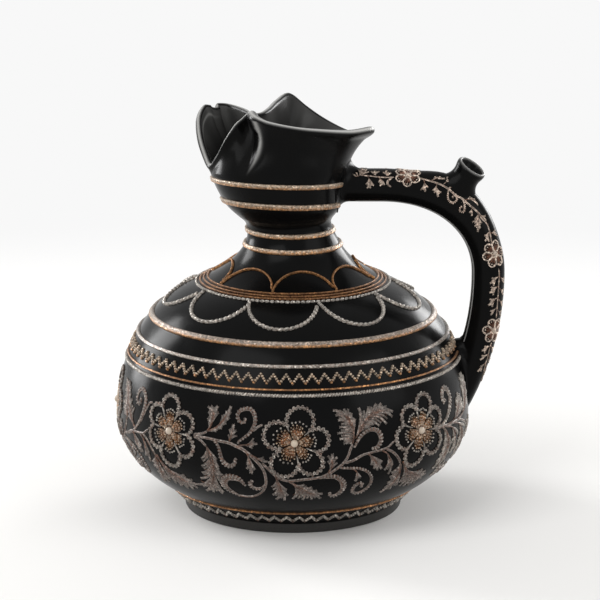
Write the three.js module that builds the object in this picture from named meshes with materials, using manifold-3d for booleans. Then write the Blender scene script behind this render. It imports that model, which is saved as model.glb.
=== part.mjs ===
// A pinched-mouth drinking jug: squat belly, narrow neck, leaf-shaped mouth cup and a hollow handle
// that ends in a small drinking spout. Raised bands, scallops, zigzags and flowers lie on the clay.
// The origin is the middle of the flat foot, +X points to the handle and +Z is up.
// Angles round the jug start at the front, which is -Y, and grow towards the handle.
import * as THREE from 'three';
import { mergeVertices } from 'three/addons/utils/BufferGeometryUtils.js';
import Module from 'manifold-3d';

const wasm = await Module();
wasm.setup();

// Driving dimensions, in millimetres and degrees
const clearance = 0.3;

const foot = { radius: 68, height: 6, edge: 1, plugRadius: 58, floorHeight: 10 };

const heel = { radius: 77, rise: 9.5 };

const belly = { radius: 110, drop: 44.5, wall: 5, tongue: 3, handleHole: 4 };

const shoulder = { rise: 83.2, slope: 22.2, fullness: 33.8, reach: 38.3 };

const collar = { radius: 60, pitch: 2.35, width: 1.7, thickness: 1.3, rings: 4 };

const neck = { waist: 26.4, rise: 36.8, sweep: 15.3, straight: 19.2, wall: 4.4, seamRise: 14.8 };

const cup = {
  seatRise: 5,
  footRadius: 36.4,
  footRise: 8,
  bandRadius: 41,
  bandRise: 15.4,
  wall: 4,
  offset: 9.3,
  leanBelowBand: 44,
  tilt: 2,
  tiltBack: 5,
};

const mouth = { length: 108.8, width: 95, rise: 43, flare: 56 };

const handle = {
  radius: 10.3,
  bore: 5.5,
  rootSwell: 3,
  rootLength: 14,
  armBelowBand: 4.7,
  cornerLength: 67.4,
  cornerHeight: 56,
  stand: 11.4,
  footRise: 19,
  footInset: 3,
  gusset: 5.3,
  gussetFrom: 36,
  gussetFull: 62,
  gussetTo: 106,
};

const spout = {
  radius: 8,
  rim: 9,
  root: 12.5,
  rootAcross: 10.2,
  bore: 5,
  length: 27,
  lean: 56,
  alongArm: 43,
};

const band = { width: 4, thickness: 1.4, thinWidth: 2.4, lineWidth: 1.3, lineThickness: 0.9 };

const bandRise = { wide: 63.6, thin: 52.4, zigzag: 45.9, line: 39.9, rope: 36.7 };

const neckBandRise = { lower: 23.8, upper: 33 };

const zigzag = { teeth: 82, height: 5.4, width: 1.7, thickness: 1.1 };

const lowerZigzag = { teeth: 62, height: 4.8, width: 1.6, thickness: 1, belowHeel: 4.6 };

const lowerLine = { aboveHeel: 0.4, width: 1.4, thickness: 0.9 };

const upperScallop = { count: 8, turn: 8, rise: 16.5, width: 1.9, thickness: 1.3, gap: 1.4 };

const lowerScallop = { count: 9, turn: -5.5, drop: 21.3, width: 2.3, thickness: 1.6, gap: 1.6 };

const flower = {
  count: 7,
  pitch: 43.3,
  first: 44.2,
  petals: 5,
  aboveWidest: 9.3,
  petalReach: 13.4,
  petalRadius: 8.5,
  cordWidth: 2.5,
  cordThickness: 1.7,
  pearlRadius: 2.6,
  pearlHeight: 2.3,
};

// Numbers of facets
const roundSteps = 48;
const rimStepsPerKnot = 2;
const handleSides = 14;
const boreSides = 8;

// Heights that follow from the sizes above
const footTop = foot.height;
const heelTop = footTop + heel.rise;
const widest = heelTop + belly.drop;
const collarHeight = widest + shoulder.rise;
const waistHeight = collarHeight + neck.rise;
const neckSeam = collarHeight + neck.seamRise;
const cupSeat = waistHeight + cup.seatRise;
const cupFoot = cupSeat + cup.footRise;
const cupBand = cupFoot + cup.bandRise;

const radians = THREE.MathUtils.degToRad;
const smooth = THREE.MathUtils.smoothstep;

// The rim of the mouth, as knots of a closed smooth line, going round from the tip over the handle
// by way of the front. Each knot has the angle on the cup's base that its wall grows from, counted
// from +X, then its place along and across the mouth and its height, as shares of the mouth's
// length, width and rise, and how far the wall flares out there, as a share of the flare.
const rimKnots = [
  [0, 0.532, 0, 0.656, 1],
  [-28, 0.403, -0.221, 0.693, 0.79],
  [-56, 0.205, -0.4, 0.787, 0.46],
  [-74, 0.081, -0.453, 0.846, 0.29],
  [-88, -0.02, -0.405, 0.897, 0.18],
  [-97, -0.077, -0.33, 0.928, 0.1],
  [-103, -0.1, -0.245, 0.948, 0.05],
  [-108, -0.125, -0.115, 0.96, 0],
  [-111, -0.14, -0.065, 0.955, 0],
  [-118, -0.172, -0.16, 0.872, 0.04],
  [-128, -0.228, -0.222, 0.754, 0.11],
  [-142, -0.3, -0.226, 0.534, 0.14],
  [-158, -0.348, -0.158, 0.311, 0.11],
  [-174, -0.389, -0.063, 0.149, 0.07],
  [-188, -0.431, 0.027, 0.311, 0.11],
  [-198, -0.46, 0.095, 0.535, 0.14],
  [-208, -0.468, 0.168, 0.753, 0.14],
  [-218, -0.44, 0.253, 0.888, 0.18],
  [-229, -0.369, 0.321, 0.912, 0.18],
  [-240, -0.264, 0.305, 0.912, 0.14],
  [-250, -0.181, 0.168, 0.903, 0.04],
  [-257, -0.121, 0.058, 0.879, 0],
  [-264, -0.069, 0.179, 0.903, 0.07],
  [-272, -0.025, 0.347, 0.954, 0.18],
  [-282, 0.044, 0.516, 0.99, 0.36],
  [-297, 0.152, 0.547, 0.79, 0.5],
  [-316, 0.28, 0.432, 0.612, 0.64],
  [-336, 0.414, 0.226, 0.515, 0.82],
  [-349, 0.494, 0.1, 0.558, 0.96],
];

// Finishes
const finishes = {
  clay: { color: 0x1b1a19, roughness: 0.85, metalness: 0 },
  glaze: { color: 0x0e1011, roughness: 0.18, metalness: 0 },
  champagne: { color: 0xc9b08f, roughness: 0.5, metalness: 0.2 },
  gold: { color: 0xb98450, roughness: 0.45, metalness: 0.5 },
  silver: { color: 0xa8a49c, roughness: 0.5, metalness: 0.3 },
  pearl: { color: 0xc9b8a4, roughness: 0.35, metalness: 0 },
};

const jug = new THREE.Group();

function addPiece(name, geometry, finish) {
  const mesh = new THREE.Mesh(geometry, new THREE.MeshStandardMaterial(finishes[finish]));
  mesh.name = name;
  jug.add(mesh);
  return mesh;
}

// Leaves only positions, merges shared vertices, drops empty triangles and turns faces outwards.
function cleanSolid(rough) {
  rough.deleteAttribute('normal');
  rough.deleteAttribute('uv');
  const merged = mergeVertices(rough, 1e-3);
  const corner = new THREE.Vector3();
  const second = new THREE.Vector3();
  const third = new THREE.Vector3();
  const places = merged.getAttribute('position');
  const triangles = [];
  let volume = 0;
  for (let i = 0; i < merged.index.count; i += 3) {
    const [a, b, c] = [0, 1, 2].map((k) => merged.index.getX(i + k));
    if (a !== b && b !== c && c !== a) {
      triangles.push([a, b, c]);
      corner.fromBufferAttribute(places, a);
      second.fromBufferAttribute(places, b);
      third.fromBufferAttribute(places, c);
      volume += corner.dot(second.cross(third));
    }
  }
  const order = volume > 0 ? triangles : triangles.map(([a, b, c]) => [a, c, b]);
  merged.setIndex(order.flat());
  merged.computeVertexNormals();
  return merged;
}

// Joins rings of equally many points into one closed skin. A hoop joins its last ring to its
// first; otherwise both ends are closed by a fan from their middle.
function skinRings(rings, hoop) {
  const around = rings[0].length;
  const positions = rings.flat().flatMap((p) => [p.x, p.y, p.z]);
  const index = [];
  const spans = hoop ? rings.length : rings.length - 1;
  for (let j = 0; j < spans; j += 1) {
    const low = j * around;
    const high = ((j + 1) % rings.length) * around;
    for (let i = 0; i < around; i += 1) {
      const next = (i + 1) % around;
      index.push(low + i, low + next, high + next, low + i, high + next, high + i);
    }
  }
  if (!hoop) {
    const ends = [[0, 1], [rings.length - 1, -1]];
    for (const [j, side] of ends) {
      const middle = new THREE.Vector3();
      rings[j].forEach((p) => middle.add(p));
      middle.divideScalar(around);
      const hub = positions.length / 3;
      positions.push(middle.x, middle.y, middle.z);
      for (let i = 0; i < around; i += 1) {
        const here = j * around + i;
        const next = j * around + ((i + 1) % around);
        index.push(...(side > 0 ? [hub, next, here] : [hub, here, next]));
      }
    }
  }
  const geometry = new THREE.BufferGeometry();
  geometry.setAttribute('position', new THREE.Float32BufferAttribute(positions, 3));
  geometry.setIndex(index);
  return cleanSolid(geometry);
}

function toManifold(geometry) {
  const vertProperties = new Float32Array(geometry.getAttribute('position').array);
  const triVerts = new Uint32Array(geometry.index.array);
  return new wasm.Manifold(new wasm.Mesh({ numProp: 3, vertProperties, triVerts }));
}

function fromManifold(solid) {
  const mesh = solid.getMesh();
  const geometry = new THREE.BufferGeometry();
  geometry.setAttribute('position', new THREE.Float32BufferAttribute(mesh.vertProperties, 3));
  geometry.setIndex(Array.from(mesh.triVerts));
  return cleanSolid(geometry);
}

// The neck leans away from the handle on its way up to the cup, and the cup is tilted on the neck:
// its rings are lower towards the handle and towards the back.
function axisAt(height) {
  return -cup.offset * smooth(height, cupBand - cup.leanBelowBand, cupBand);
}

function settle(point) {
  const tilted = THREE.MathUtils.clamp((point.z - cupSeat) / (cupFoot - cupSeat), 0, 1);
  const fall = Math.tan(radians(cup.tilt)) * point.x + Math.tan(radians(cup.tiltBack)) * point.y;
  point.x += axisAt(point.z);
  point.z -= tilted * fall;
  return point;
}

// The outside of the wall from the foot up to the cup's upper band, as half a section: a straight
// heel, part of an ellipse up to the widest line, then three curves for the shoulder, the neck and
// the cup's foot.
function outsideLine() {
  const base = new THREE.LineCurve(
    new THREE.Vector2(foot.radius, footTop),
    new THREE.Vector2(heel.radius, heelTop),
  );
  const depth = belly.drop / Math.sqrt(1 - (heel.radius / belly.radius) ** 2);
  const start = -Math.acos(heel.radius / belly.radius);
  const bowl = new THREE.EllipseCurve(0, widest, belly.radius, depth, start, 0, false);
  const fall = radians(shoulder.slope);
  const along = new THREE.Vector2(Math.cos(fall), -Math.sin(fall));
  const turn = new THREE.Vector2(collar.radius, collarHeight);
  const crown = new THREE.CubicBezierCurve(
    new THREE.Vector2(belly.radius, widest),
    new THREE.Vector2(belly.radius, widest + shoulder.fullness),
    turn.clone().addScaledVector(along, shoulder.reach),
    turn,
  );
  const throat = new THREE.CubicBezierCurve(
    turn,
    turn.clone().addScaledVector(along, -neck.sweep),
    new THREE.Vector2(neck.waist, waistHeight - neck.straight),
    new THREE.Vector2(neck.waist, waistHeight),
  );
  const opening = (cup.bandRadius - cup.footRadius) / cup.bandRise;
  const bulge = new THREE.CubicBezierCurve(
    new THREE.Vector2(neck.waist, waistHeight),
    new THREE.Vector2(neck.waist, waistHeight + cup.seatRise * 0.8),
    new THREE.Vector2(cup.footRadius - opening * cup.seatRise, cupFoot - cup.seatRise),
    new THREE.Vector2(cup.footRadius, cupFoot),
  );
  const side = new THREE.LineCurve(
    new THREE.Vector2(cup.footRadius, cupFoot),
    new THREE.Vector2(cup.bandRadius, cupBand),
  );
  const fineSteps = 60;
  return [base, bowl, crown, throat, bulge, side].flatMap((curve, i) => {
    const points = curve.getPoints(fineSteps);
    return i === 0 ? points : points.slice(1);
  });
}

// The same line moved into the wall by a depth, with the length run so far at each point.
function wallLine(depth) {
  const outside = outsideLine();
  const moved = outside.map((point, i) => {
    const before = outside[Math.max(i - 1, 0)];
    const after = outside[Math.min(i + 1, outside.length - 1)];
    const tangent = after.clone().sub(before).normalize();
    const normal = new THREE.Vector2(tangent.y, -tangent.x);
    return { place: point.clone().addScaledVector(normal, -depth), normal, run: 0 };
  });
  for (let i = 1; i < moved.length; i += 1) {
    moved[i].run = moved[i - 1].run + moved[i].place.distanceTo(moved[i - 1].place);
  }
  return moved;
}

const outside = wallLine(0);
const insideBelly = wallLine(belly.wall);
const insideNeck = wallLine(neck.wall);
const insideCup = wallLine(cup.wall);

// Finds where a rising value of the line passes a target and blends its two neighbours there.
function alongLine(line, value, target) {
  let i = 1;
  while (i < line.length - 1 && value(line[i]) < target) {
    i += 1;
  }
  const from = line[i - 1];
  const to = line[i];
  const share = (target - value(from)) / (value(to) - value(from));
  return {
    place: from.place.clone().lerp(to.place, share),
    normal: from.normal.clone().lerp(to.normal, share).normalize(),
    run: from.run + (to.run - from.run) * share,
  };
}

const atHeight = (line, height) => alongLine(line, (entry) => entry.place.y, height);
const atRun = (run) => alongLine(outside, (entry) => entry.run, run);
const widestRun = atHeight(outside, widest).run;
const waistRun = atHeight(outside, waistHeight).run;

// The run on the shoulder or neck at which the wall has a given radius.
function runAtRadius(radius) {
  const part = outside.filter((entry) => entry.run >= widestRun && entry.run <= waistRun);
  return alongLine(part, (entry) => -entry.place.x, -radius).run;
}

// Points of a wall line between two heights, evenly along its length.
function profileBetween(line, low, high, count) {
  const first = atHeight(line, low);
  const last = atHeight(line, high);
  const points = [];
  for (let i = 0; i <= count; i += 1) {
    const run = first.run + ((last.run - first.run) * i) / count;
    points.push(alongLine(line, (entry) => entry.run, run).place);
  }
  return points;
}

// Turns a closed section round the jug's axis and lets it lean and tilt with the wall.
function turned(section, steps = roundSteps) {
  const closed = [...section, section[0]];
  const lathe = new THREE.LatheGeometry(closed, steps);
  lathe.rotateX(Math.PI / 2);
  const places = lathe.getAttribute('position');
  const point = new THREE.Vector3();
  for (let i = 0; i < places.count; i += 1) {
    point.fromBufferAttribute(places, i);
    settle(point);
    places.setXYZ(i, point.x, point.y, point.z);
  }
  return cleanSolid(lathe);
}

// A point of the wall at an angle and a run along it, lifted off the wall by a rise.
function wallPoint(angle, run, rise) {
  const entry = atRun(run);
  const radius = entry.place.x + entry.normal.x * rise;
  const height = entry.place.y + entry.normal.y * rise;
  return settle(new THREE.Vector3(radius * Math.sin(angle), -radius * Math.cos(angle), height));
}

// Raised ring whose section follows the wall. A flat one is narrower on top, a fine one is ridged.
const flatSection = [[-0.5, 0], [0.5, 0], [0.28, 1], [-0.28, 1]];
const ridgeSection = [[-0.5, 0], [0.5, 0], [0, 1]];

function raisedRing(run, width, thickness, corners = flatSection) {
  const section = corners.map(([share, up]) => {
    const entry = atRun(run + share * width);
    return entry.place.clone().addScaledVector(entry.normal, clearance + up * thickness);
  });
  return turned(section);
}

// Raised cord along a path of [angle, run] pairs on the wall, three-sided, open or closed.
function raisedCord(path, width, thickness, hoop) {
  const last = path.length - 1;
  const rings = path.map(([angle, run], i) => {
    const before = hoop ? path[(i + last) % path.length] : path[Math.max(i - 1, 0)];
    const after = hoop ? path[(i + 1) % path.length] : path[Math.min(i + 1, last)];
    const base = wallPoint(angle, run, clearance);
    const lifted = wallPoint(angle, run, clearance + thickness);
    const normal = lifted.clone().sub(base).normalize();
    const forward = wallPoint(...after, clearance).sub(wallPoint(...before, clearance));
    const across = normal.clone().cross(forward).normalize().multiplyScalar(width / 2);
    return [base.clone().add(across), base.clone().sub(across), lifted];
  });
  return skinRings(rings, hoop);
}

// Zigzag round the jug. Its limbs are as wide along the wall at every bend.
function zigzagRing(run, teeth, height, width, thickness) {
  const rings = [];
  for (let i = 0; i < teeth * 2; i += 1) {
    const angle = (Math.PI * i) / teeth;
    const here = run + (i % 2 ? 0.5 : -0.5) * height;
    rings.push([
      wallPoint(angle, here - width / 2, clearance),
      wallPoint(angle, here + width / 2, clearance),
      wallPoint(angle, here, clearance + thickness),
    ]);
  }
  return skinRings(rings, true);
}

// Straight round tube or rod between two points, with a radius at each end. Across the jug's plane
// its first end can be narrower.
function rod(from, to, fromRadius, toRadius, sides, narrow = 1) {
  const forward = to.clone().sub(from).normalize();
  const side = new THREE.Vector3(0, 1, 0);
  const up = side.clone().cross(forward).normalize();
  const ring = (middle, radius, share) => Array.from({ length: sides }, (_, i) => {
    const angle = (2 * Math.PI * i) / sides;
    return middle.clone()
      .addScaledVector(side, radius * share * Math.cos(angle))
      .addScaledVector(up, radius * Math.sin(angle));
  });
  return skinRings([ring(from, fromRadius, narrow), ring(to, toRadius, 1)], false);
}

// Base: a flat disc whose plug stands in the lower belly's opening
function makeFoot() {
  const section = [
    [0, 0],
    [foot.radius - foot.edge, 0],
    [foot.radius, foot.edge],
    [foot.radius, footTop],
    [foot.plugRadius - clearance, footTop],
    [foot.plugRadius - clearance, foot.floorHeight],
    [0, foot.floorHeight],
  ];
  addPiece('foot_disc', turned(section.map(([r, z]) => new THREE.Vector2(r, z))), 'clay');
}

// Lower half of the belly, with a ledge inside its upper edge for the shoulder half's tongue
function makeLowerBelly() {
  const middle = belly.radius - belly.wall / 2;
  const ledge = widest - belly.tongue;
  const insideSteps = 5;
  const outsideSteps = 6;
  const section = [
    new THREE.Vector2(foot.radius, footTop),
    ...profileBetween(outside, heelTop, widest, outsideSteps),
    new THREE.Vector2(middle + clearance / 2, widest),
    new THREE.Vector2(middle + clearance / 2, ledge),
    ...profileBetween(insideBelly, foot.floorHeight, ledge, insideSteps).reverse(),
    new THREE.Vector2(foot.plugRadius, foot.floorHeight),
    new THREE.Vector2(foot.plugRadius, footTop),
  ];
  addPiece('lower_belly', turned(section), 'glaze');
}

// Shoulder half of the belly, up to the neck's seam. The hole for the handle's bore goes through it.
function makeUpperBelly() {
  const middle = belly.radius - belly.wall / 2;
  const tongueEnd = widest - belly.tongue + clearance;
  const insideSteps = 6;
  const crownSteps = 7;
  const throatSteps = 4;
  const section = [
    ...profileBetween(outside, widest, collarHeight, crownSteps),
    ...profileBetween(outside, collarHeight, neckSeam, throatSteps).slice(1),
    ...profileBetween(insideBelly, widest, neckSeam, insideSteps).reverse(),
    new THREE.Vector2(belly.radius - belly.wall, tongueEnd),
    new THREE.Vector2(middle - clearance / 2, tongueEnd),
    new THREE.Vector2(middle - clearance / 2, widest),
  ];
  const holeHeight = widest + handle.footRise;
  const drill = rod(
    new THREE.Vector3(belly.radius - 4 * belly.wall, 0, holeHeight),
    new THREE.Vector3(belly.radius + belly.wall, 0, holeHeight),
    belly.handleHole,
    belly.handleHole,
    boreSides,
  );
  const pierced = toManifold(turned(section)).subtract(toManifold(drill));
  addPiece('upper_belly', fromManifold(pierced), 'glaze');
}

// Neck, from the seam on the shoulder up to the seat of the mouth cup
function makeNeck() {
  const steps = 5;
  const section = [
    ...profileBetween(outside, neckSeam, cupSeat, steps),
    ...profileBetween(insideNeck, neckSeam, cupSeat, steps).reverse(),
  ];
  addPiece('neck', turned(section), 'glaze');
}

// Value of a column of the rim's knots at a place counted in knots, on a closed smooth line.
// Turns adds what the column gains in one round, as the angle does.
function rimValue(column, at, turns = 0) {
  const count = rimKnots.length;
  const knot = Math.floor(at);
  const t = at - knot;
  const [a, b, c, d] = [-1, 0, 1, 2].map((step) => {
    const k = knot + step;
    const round = Math.floor(k / count);
    return rimKnots[k - round * count][column] + turns * round;
  });
  return 0.5 * (2 * b + (c - a) * t + (2 * a - 5 * b + 4 * c - d) * t * t
    + (3 * b - a - 3 * c + d) * t * t * t);
}

// Point of the cup's outside above its upper band. At is the place on the rim, counted in knots,
// and share goes from the band, 0, to the rim, 1. The wall starts in line with the cup below the
// band and ends with the rim's flare.
function cupSidePoint(at, share) {
  const angle = radians(rimValue(0, at, -360));
  const out = new THREE.Vector2(Math.cos(angle), Math.sin(angle));
  const base = settle(new THREE.Vector3(cup.bandRadius * out.x, cup.bandRadius * out.y, cupBand));
  const rim = new THREE.Vector3(
    -cup.offset + rimValue(1, at) * mouth.length,
    rimValue(2, at) * mouth.width,
    cupBand + rimValue(3, at) * mouth.rise,
  );
  const height = rim.z - base.z;
  const opening = (cup.bandRadius - cup.footRadius) / cup.bandRise;
  const start = out.clone().multiplyScalar(opening * height);
  const end = out.clone().multiplyScalar(rimValue(4, at) * mouth.flare);
  const square = share * share;
  const cube = square * share;
  const toRim = 3 * square - 2 * cube;
  const atStart = cube - 2 * square + share;
  const atEnd = cube - square;
  return new THREE.Vector3(
    base.x * (1 - toRim) + rim.x * toRim + start.x * atStart + end.x * atEnd,
    base.y * (1 - toRim) + rim.y * toRim + start.y * atStart + end.y * atEnd,
    base.z + height * share,
  );
}

// Outside of the cup as rings from its seat to the rim
function cupOutside() {
  const count = rimKnots.length * rimStepsPerKnot;
  const lowSteps = 4;
  const sideSteps = 6;
  const places = Array.from({ length: count }, (_, i) => i / rimStepsPerKnot);
  const low = profileBetween(outside, cupSeat, cupBand, lowSteps).slice(0, -1);
  const lowRings = low.map((entry) => places.map((at) => {
    const angle = radians(rimValue(0, at, -360));
    return settle(new THREE.Vector3(entry.x * Math.cos(angle), entry.x * Math.sin(angle), entry.y));
  }));
  const sideRings = Array.from({ length: sideSteps + 1 }, (_, j) => (
    places.map((at) => cupSidePoint(at, j / sideSteps))
  ));
  return { places, lowRings, sideRings };
}

// Normal of a grid of rings at one of its points
function gridNormal(rings, j, i) {
  const around = rings[0].length;
  const along = rings[j][(i + 1) % around].clone().sub(rings[j][(i + around - 1) % around]);
  const below = rings[Math.max(j - 1, 0)][i];
  const above = rings[Math.min(j + 1, rings.length - 1)][i];
  return above.clone().sub(below).cross(along).normalize();
}

// Mouth cup: outside, rolled rim, and an inside that keeps the wall's thickness
function makeMouthCup() {
  const { places, lowRings, sideRings } = cupOutside();
  const outer = [...lowRings, ...sideRings];
  const top = outer.length - 1;
  const rimRings = [1, 2, 3].map((quarter) => outer[top].map((point, i) => {
    const turn = (Math.PI * quarter) / 4;
    const normal = gridNormal(outer, top, i);
    const up = point.clone().sub(outer[top - 1][i]).normalize();
    return point.clone()
      .addScaledVector(normal, (cup.wall / 2) * (Math.cos(turn) - 1))
      .addScaledVector(up, (cup.wall / 2) * Math.sin(turn));
  }));
  const innerSide = sideRings.map((ring, j) => ring.map((point, i) => (
    point.clone().addScaledVector(gridNormal(outer, lowRings.length + j, i), -cup.wall)
  )));
  const innerSteps = 2;
  const innerLow = profileBetween(insideCup, cupSeat, cupBand, innerSteps).slice(0, -1);
  const innerLowRings = innerLow.map((entry) => places.map((at) => {
    const angle = radians(rimValue(0, at, -360));
    return settle(new THREE.Vector3(entry.x * Math.cos(angle), entry.x * Math.sin(angle), entry.y));
  }));
  const rings = [...outer, ...rimRings, ...innerSide.reverse(), ...innerLowRings.reverse()];
  addPiece('mouth_cup', skinRings(rings, true), 'glaze');
}

// Middle line of the handle: a level arm from the cup, a rounded corner, and a drop that turns in
// to the belly
const armHeight = cupBand - handle.armBelowBand;
const handleReach = belly.radius + handle.stand;
const cornerStart = handleReach - handle.cornerLength;
const bendHeight = armHeight - handle.cornerHeight;
const handleFoot = widest + handle.footRise;

function handleCorner(turn) {
  const roundness = 2 / 2.14;
  return new THREE.Vector3(
    cornerStart + handle.cornerLength * Math.sin(turn) ** roundness,
    0,
    bendHeight + handle.cornerHeight * Math.cos(turn) ** roundness,
  );
}

const cupSide = cup.bandRadius - cup.offset;

function handleLine() {
  const points = [new THREE.Vector3(cupSide - 3 * cup.wall, 0, armHeight)];
  const rootSteps = 4;
  for (let i = 0; i <= rootSteps; i += 1) {
    points.push(new THREE.Vector3(cupSide + (handle.rootLength * i) / rootSteps, 0, armHeight));
  }
  points.push(new THREE.Vector3(cornerStart, 0, armHeight));
  const cornerSteps = 9;
  for (let i = 1; i <= cornerSteps; i += 1) {
    points.push(handleCorner((Math.PI / 2) * (i / cornerSteps)));
  }
  const inward = handleReach - (belly.radius - handle.footInset);
  const deepest = 1.28;
  const dropSteps = 8;
  for (let i = 1; i <= dropSteps; i += 1) {
    const share = (deepest * i) / dropSteps;
    points.push(new THREE.Vector3(
      handleReach - inward * share ** 2.1,
      0,
      bendHeight - (bendHeight - handleFoot) * share,
    ));
  }
  return points;
}

// Round rod along the handle's middle line. It can swell where it meets the cup, and its outer side
// can stand out round the corner, where the spout grows from it.
function alongHandle(straightRadius, sides, swell = 0, gusset = 0) {
  const line = handleLine();
  let run = line[0].x - cupSide;
  const rings = line.map((point, i) => {
    run += i > 0 ? point.distanceTo(line[i - 1]) : 0;
    const rises = smooth(run, handle.gussetFrom, handle.gussetFull);
    const stand = gusset * rises * (1 - smooth(run, handle.gussetFull, handle.gussetTo));
    const fromCup = THREE.MathUtils.clamp((point.x - cupSide) / handle.rootLength, 0, 1);
    const radius = straightRadius + swell * (1 - fromCup) ** 2;
    const before = line[Math.max(i - 1, 0)];
    const after = line[Math.min(i + 1, line.length - 1)];
    const forward = after.clone().sub(before).normalize();
    const out = new THREE.Vector3(-forward.z, 0, forward.x);
    return Array.from({ length: sides }, (_, k) => {
      const angle = (2 * Math.PI * k) / sides;
      const outer = ((1 + Math.cos(angle)) / 2) ** 1.5;
      return point.clone()
        .addScaledVector(out, radius * Math.cos(angle) + stand * outer)
        .add(new THREE.Vector3(0, radius * Math.sin(angle), 0));
    });
  });
  return skinRings(rings, false);
}

// The spout's axis stands on the handle's corner
function spoutAxis() {
  const share = spout.alongArm / handle.cornerLength;
  const root = handleCorner(Math.asin(share));
  const lean = radians(spout.lean);
  const forward = new THREE.Vector3(Math.cos(lean), 0, Math.sin(lean));
  return { root, tip: root.clone().addScaledVector(forward, spout.length), forward };
}

// Solid block of the belly or of the cup, grown by the clearance, to cut the handle's ends to shape
function bellyBlock() {
  const grown = wallLine(-clearance);
  const section = [
    new THREE.Vector2(0, footTop + 1),
    ...profileBetween(grown, footTop + 1, neckSeam, 24),
    new THREE.Vector2(0, neckSeam),
  ];
  return toManifold(turned(section));
}

function cupBlock() {
  const { lowRings, sideRings } = cupOutside();
  const outer = [...lowRings, ...sideRings.slice(0, -2)];
  const grown = outer.map((ring, j) => ring.map((point, i) => (
    point.clone().addScaledVector(gridNormal(outer, j, i), clearance)
  )));
  return toManifold(skinRings(grown, false));
}

// Hollow handle with both ends cut to the walls they stand on, and a hole under the spout
function makeHandle() {
  const { root, tip } = spoutAxis();
  const boreHole = rod(root, tip, spout.bore, spout.bore, boreSides);
  const solid = toManifold(alongHandle(handle.radius, handleSides, handle.rootSwell, handle.gusset))
    .subtract(toManifold(alongHandle(handle.bore, boreSides)))
    .subtract(cupBlock())
    .subtract(bellyBlock())
    .subtract(toManifold(boreHole));
  addPiece('handle_tube', fromManifold(solid), 'glaze');
}

// Drinking spout, saddled on the handle's corner: wide at its root, narrow, then wider at its rim
function makeSpout() {
  const { root, tip, forward } = spoutAxis();
  const waist = root.clone().addScaledVector(forward, (spout.length + handle.radius) / 2);
  const narrow = spout.rootAcross / spout.root;
  const body = toManifold(rod(root, waist, spout.root, spout.radius, handleSides, narrow));
  const rim = toManifold(rod(waist, tip, spout.radius, spout.rim, handleSides));
  const past = tip.clone().addScaledVector(forward, 1);
  const hole = toManifold(rod(root, past, spout.bore, spout.bore, boreSides));
  const saddle = toManifold(alongHandle(handle.radius + clearance, handleSides, 0, handle.gusset));
  addPiece('drinking_spout', fromManifold(body.add(rim).subtract(saddle).subtract(hole)), 'glaze');
}

// Opens a ring where the handle stands on the wall
function openAtHandle(ring, halfWidth) {
  const reach = 2 * belly.radius;
  const slot = new THREE.BoxGeometry(reach, 2 * (halfWidth + clearance), 4 * reach);
  slot.translate(reach / 2, 0, 0);
  return fromManifold(toManifold(ring).subtract(toManifold(cleanSolid(slot))));
}

// Bands round the cup, the neck and the shoulder, and the line near the foot. The two on the cup
// and the two lowest on the shoulder stop at the handle.
function makeBands() {
  const runAt = (height) => atHeight(outside, height).run;
  const onCup = { mouth_band_upper: cupBand - band.width / 2, mouth_band_lower: cupFoot };
  for (const [name, height] of Object.entries(onCup)) {
    const ring = raisedRing(runAt(height), band.width, band.thickness);
    addPiece(name, openAtHandle(ring, handle.radius + handle.rootSwell), 'champagne');
  }
  const onNeck = {
    neck_band_upper: collarHeight + neckBandRise.upper,
    neck_band_lower: collarHeight + neckBandRise.lower,
  };
  for (const [name, height] of Object.entries(onNeck)) {
    addPiece(name, raisedRing(runAt(height), band.width * 0.85, band.thickness), 'champagne');
  }
  const wide = raisedRing(runAt(widest + bandRise.wide), band.width, band.thickness);
  addPiece('shoulder_band_wide', wide, 'champagne');
  const thin = raisedRing(runAt(widest + bandRise.thin), band.thinWidth, band.thickness);
  addPiece('shoulder_band_thin', thin, 'silver');
  const lineRun = runAt(widest + bandRise.line);
  const line = raisedRing(lineRun, band.lineWidth, band.lineThickness, ridgeSection);
  addPiece('gold_line', openAtHandle(line, handle.radius), 'gold');
  const rope = raisedRing(runAt(widest + bandRise.rope), band.thinWidth, band.thickness);
  addPiece('rope_band', openAtHandle(rope, handle.radius), 'silver');
  const lowRun = runAt(heelTop + lowerLine.aboveHeel);
  const low = raisedRing(lowRun, lowerLine.width, lowerLine.thickness, ridgeSection);
  addPiece('lower_gold_line', low, 'gold');
}

// Four close rings where the neck meets the shoulder, the outermost one at the collar's radius
function makeCollar() {
  for (let i = 0; i < collar.rings; i += 1) {
    const radius = collar.radius - (collar.rings - 1 - i) * collar.pitch;
    const run = runAtRadius(radius);
    const ring = raisedRing(run, collar.width, collar.thickness, ridgeSection);
    addPiece(`collar_ring_${i + 1}`, ring, i === collar.rings - 1 ? 'silver' : 'gold');
  }
}

function makeZigzags() {
  const upperRun = atHeight(outside, widest + bandRise.zigzag).run;
  const upper = zigzagRing(upperRun, zigzag.teeth, zigzag.height, zigzag.width, zigzag.thickness);
  addPiece('zigzag_upper', upper, 'champagne');
  const lowerRun = atHeight(outside, heelTop - lowerZigzag.belowHeel).run;
  const lower = zigzagRing(
    lowerRun,
    lowerZigzag.teeth,
    lowerZigzag.height,
    lowerZigzag.width,
    lowerZigzag.thickness,
  );
  addPiece('zigzag_lower', lower, 'silver');
}

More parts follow.
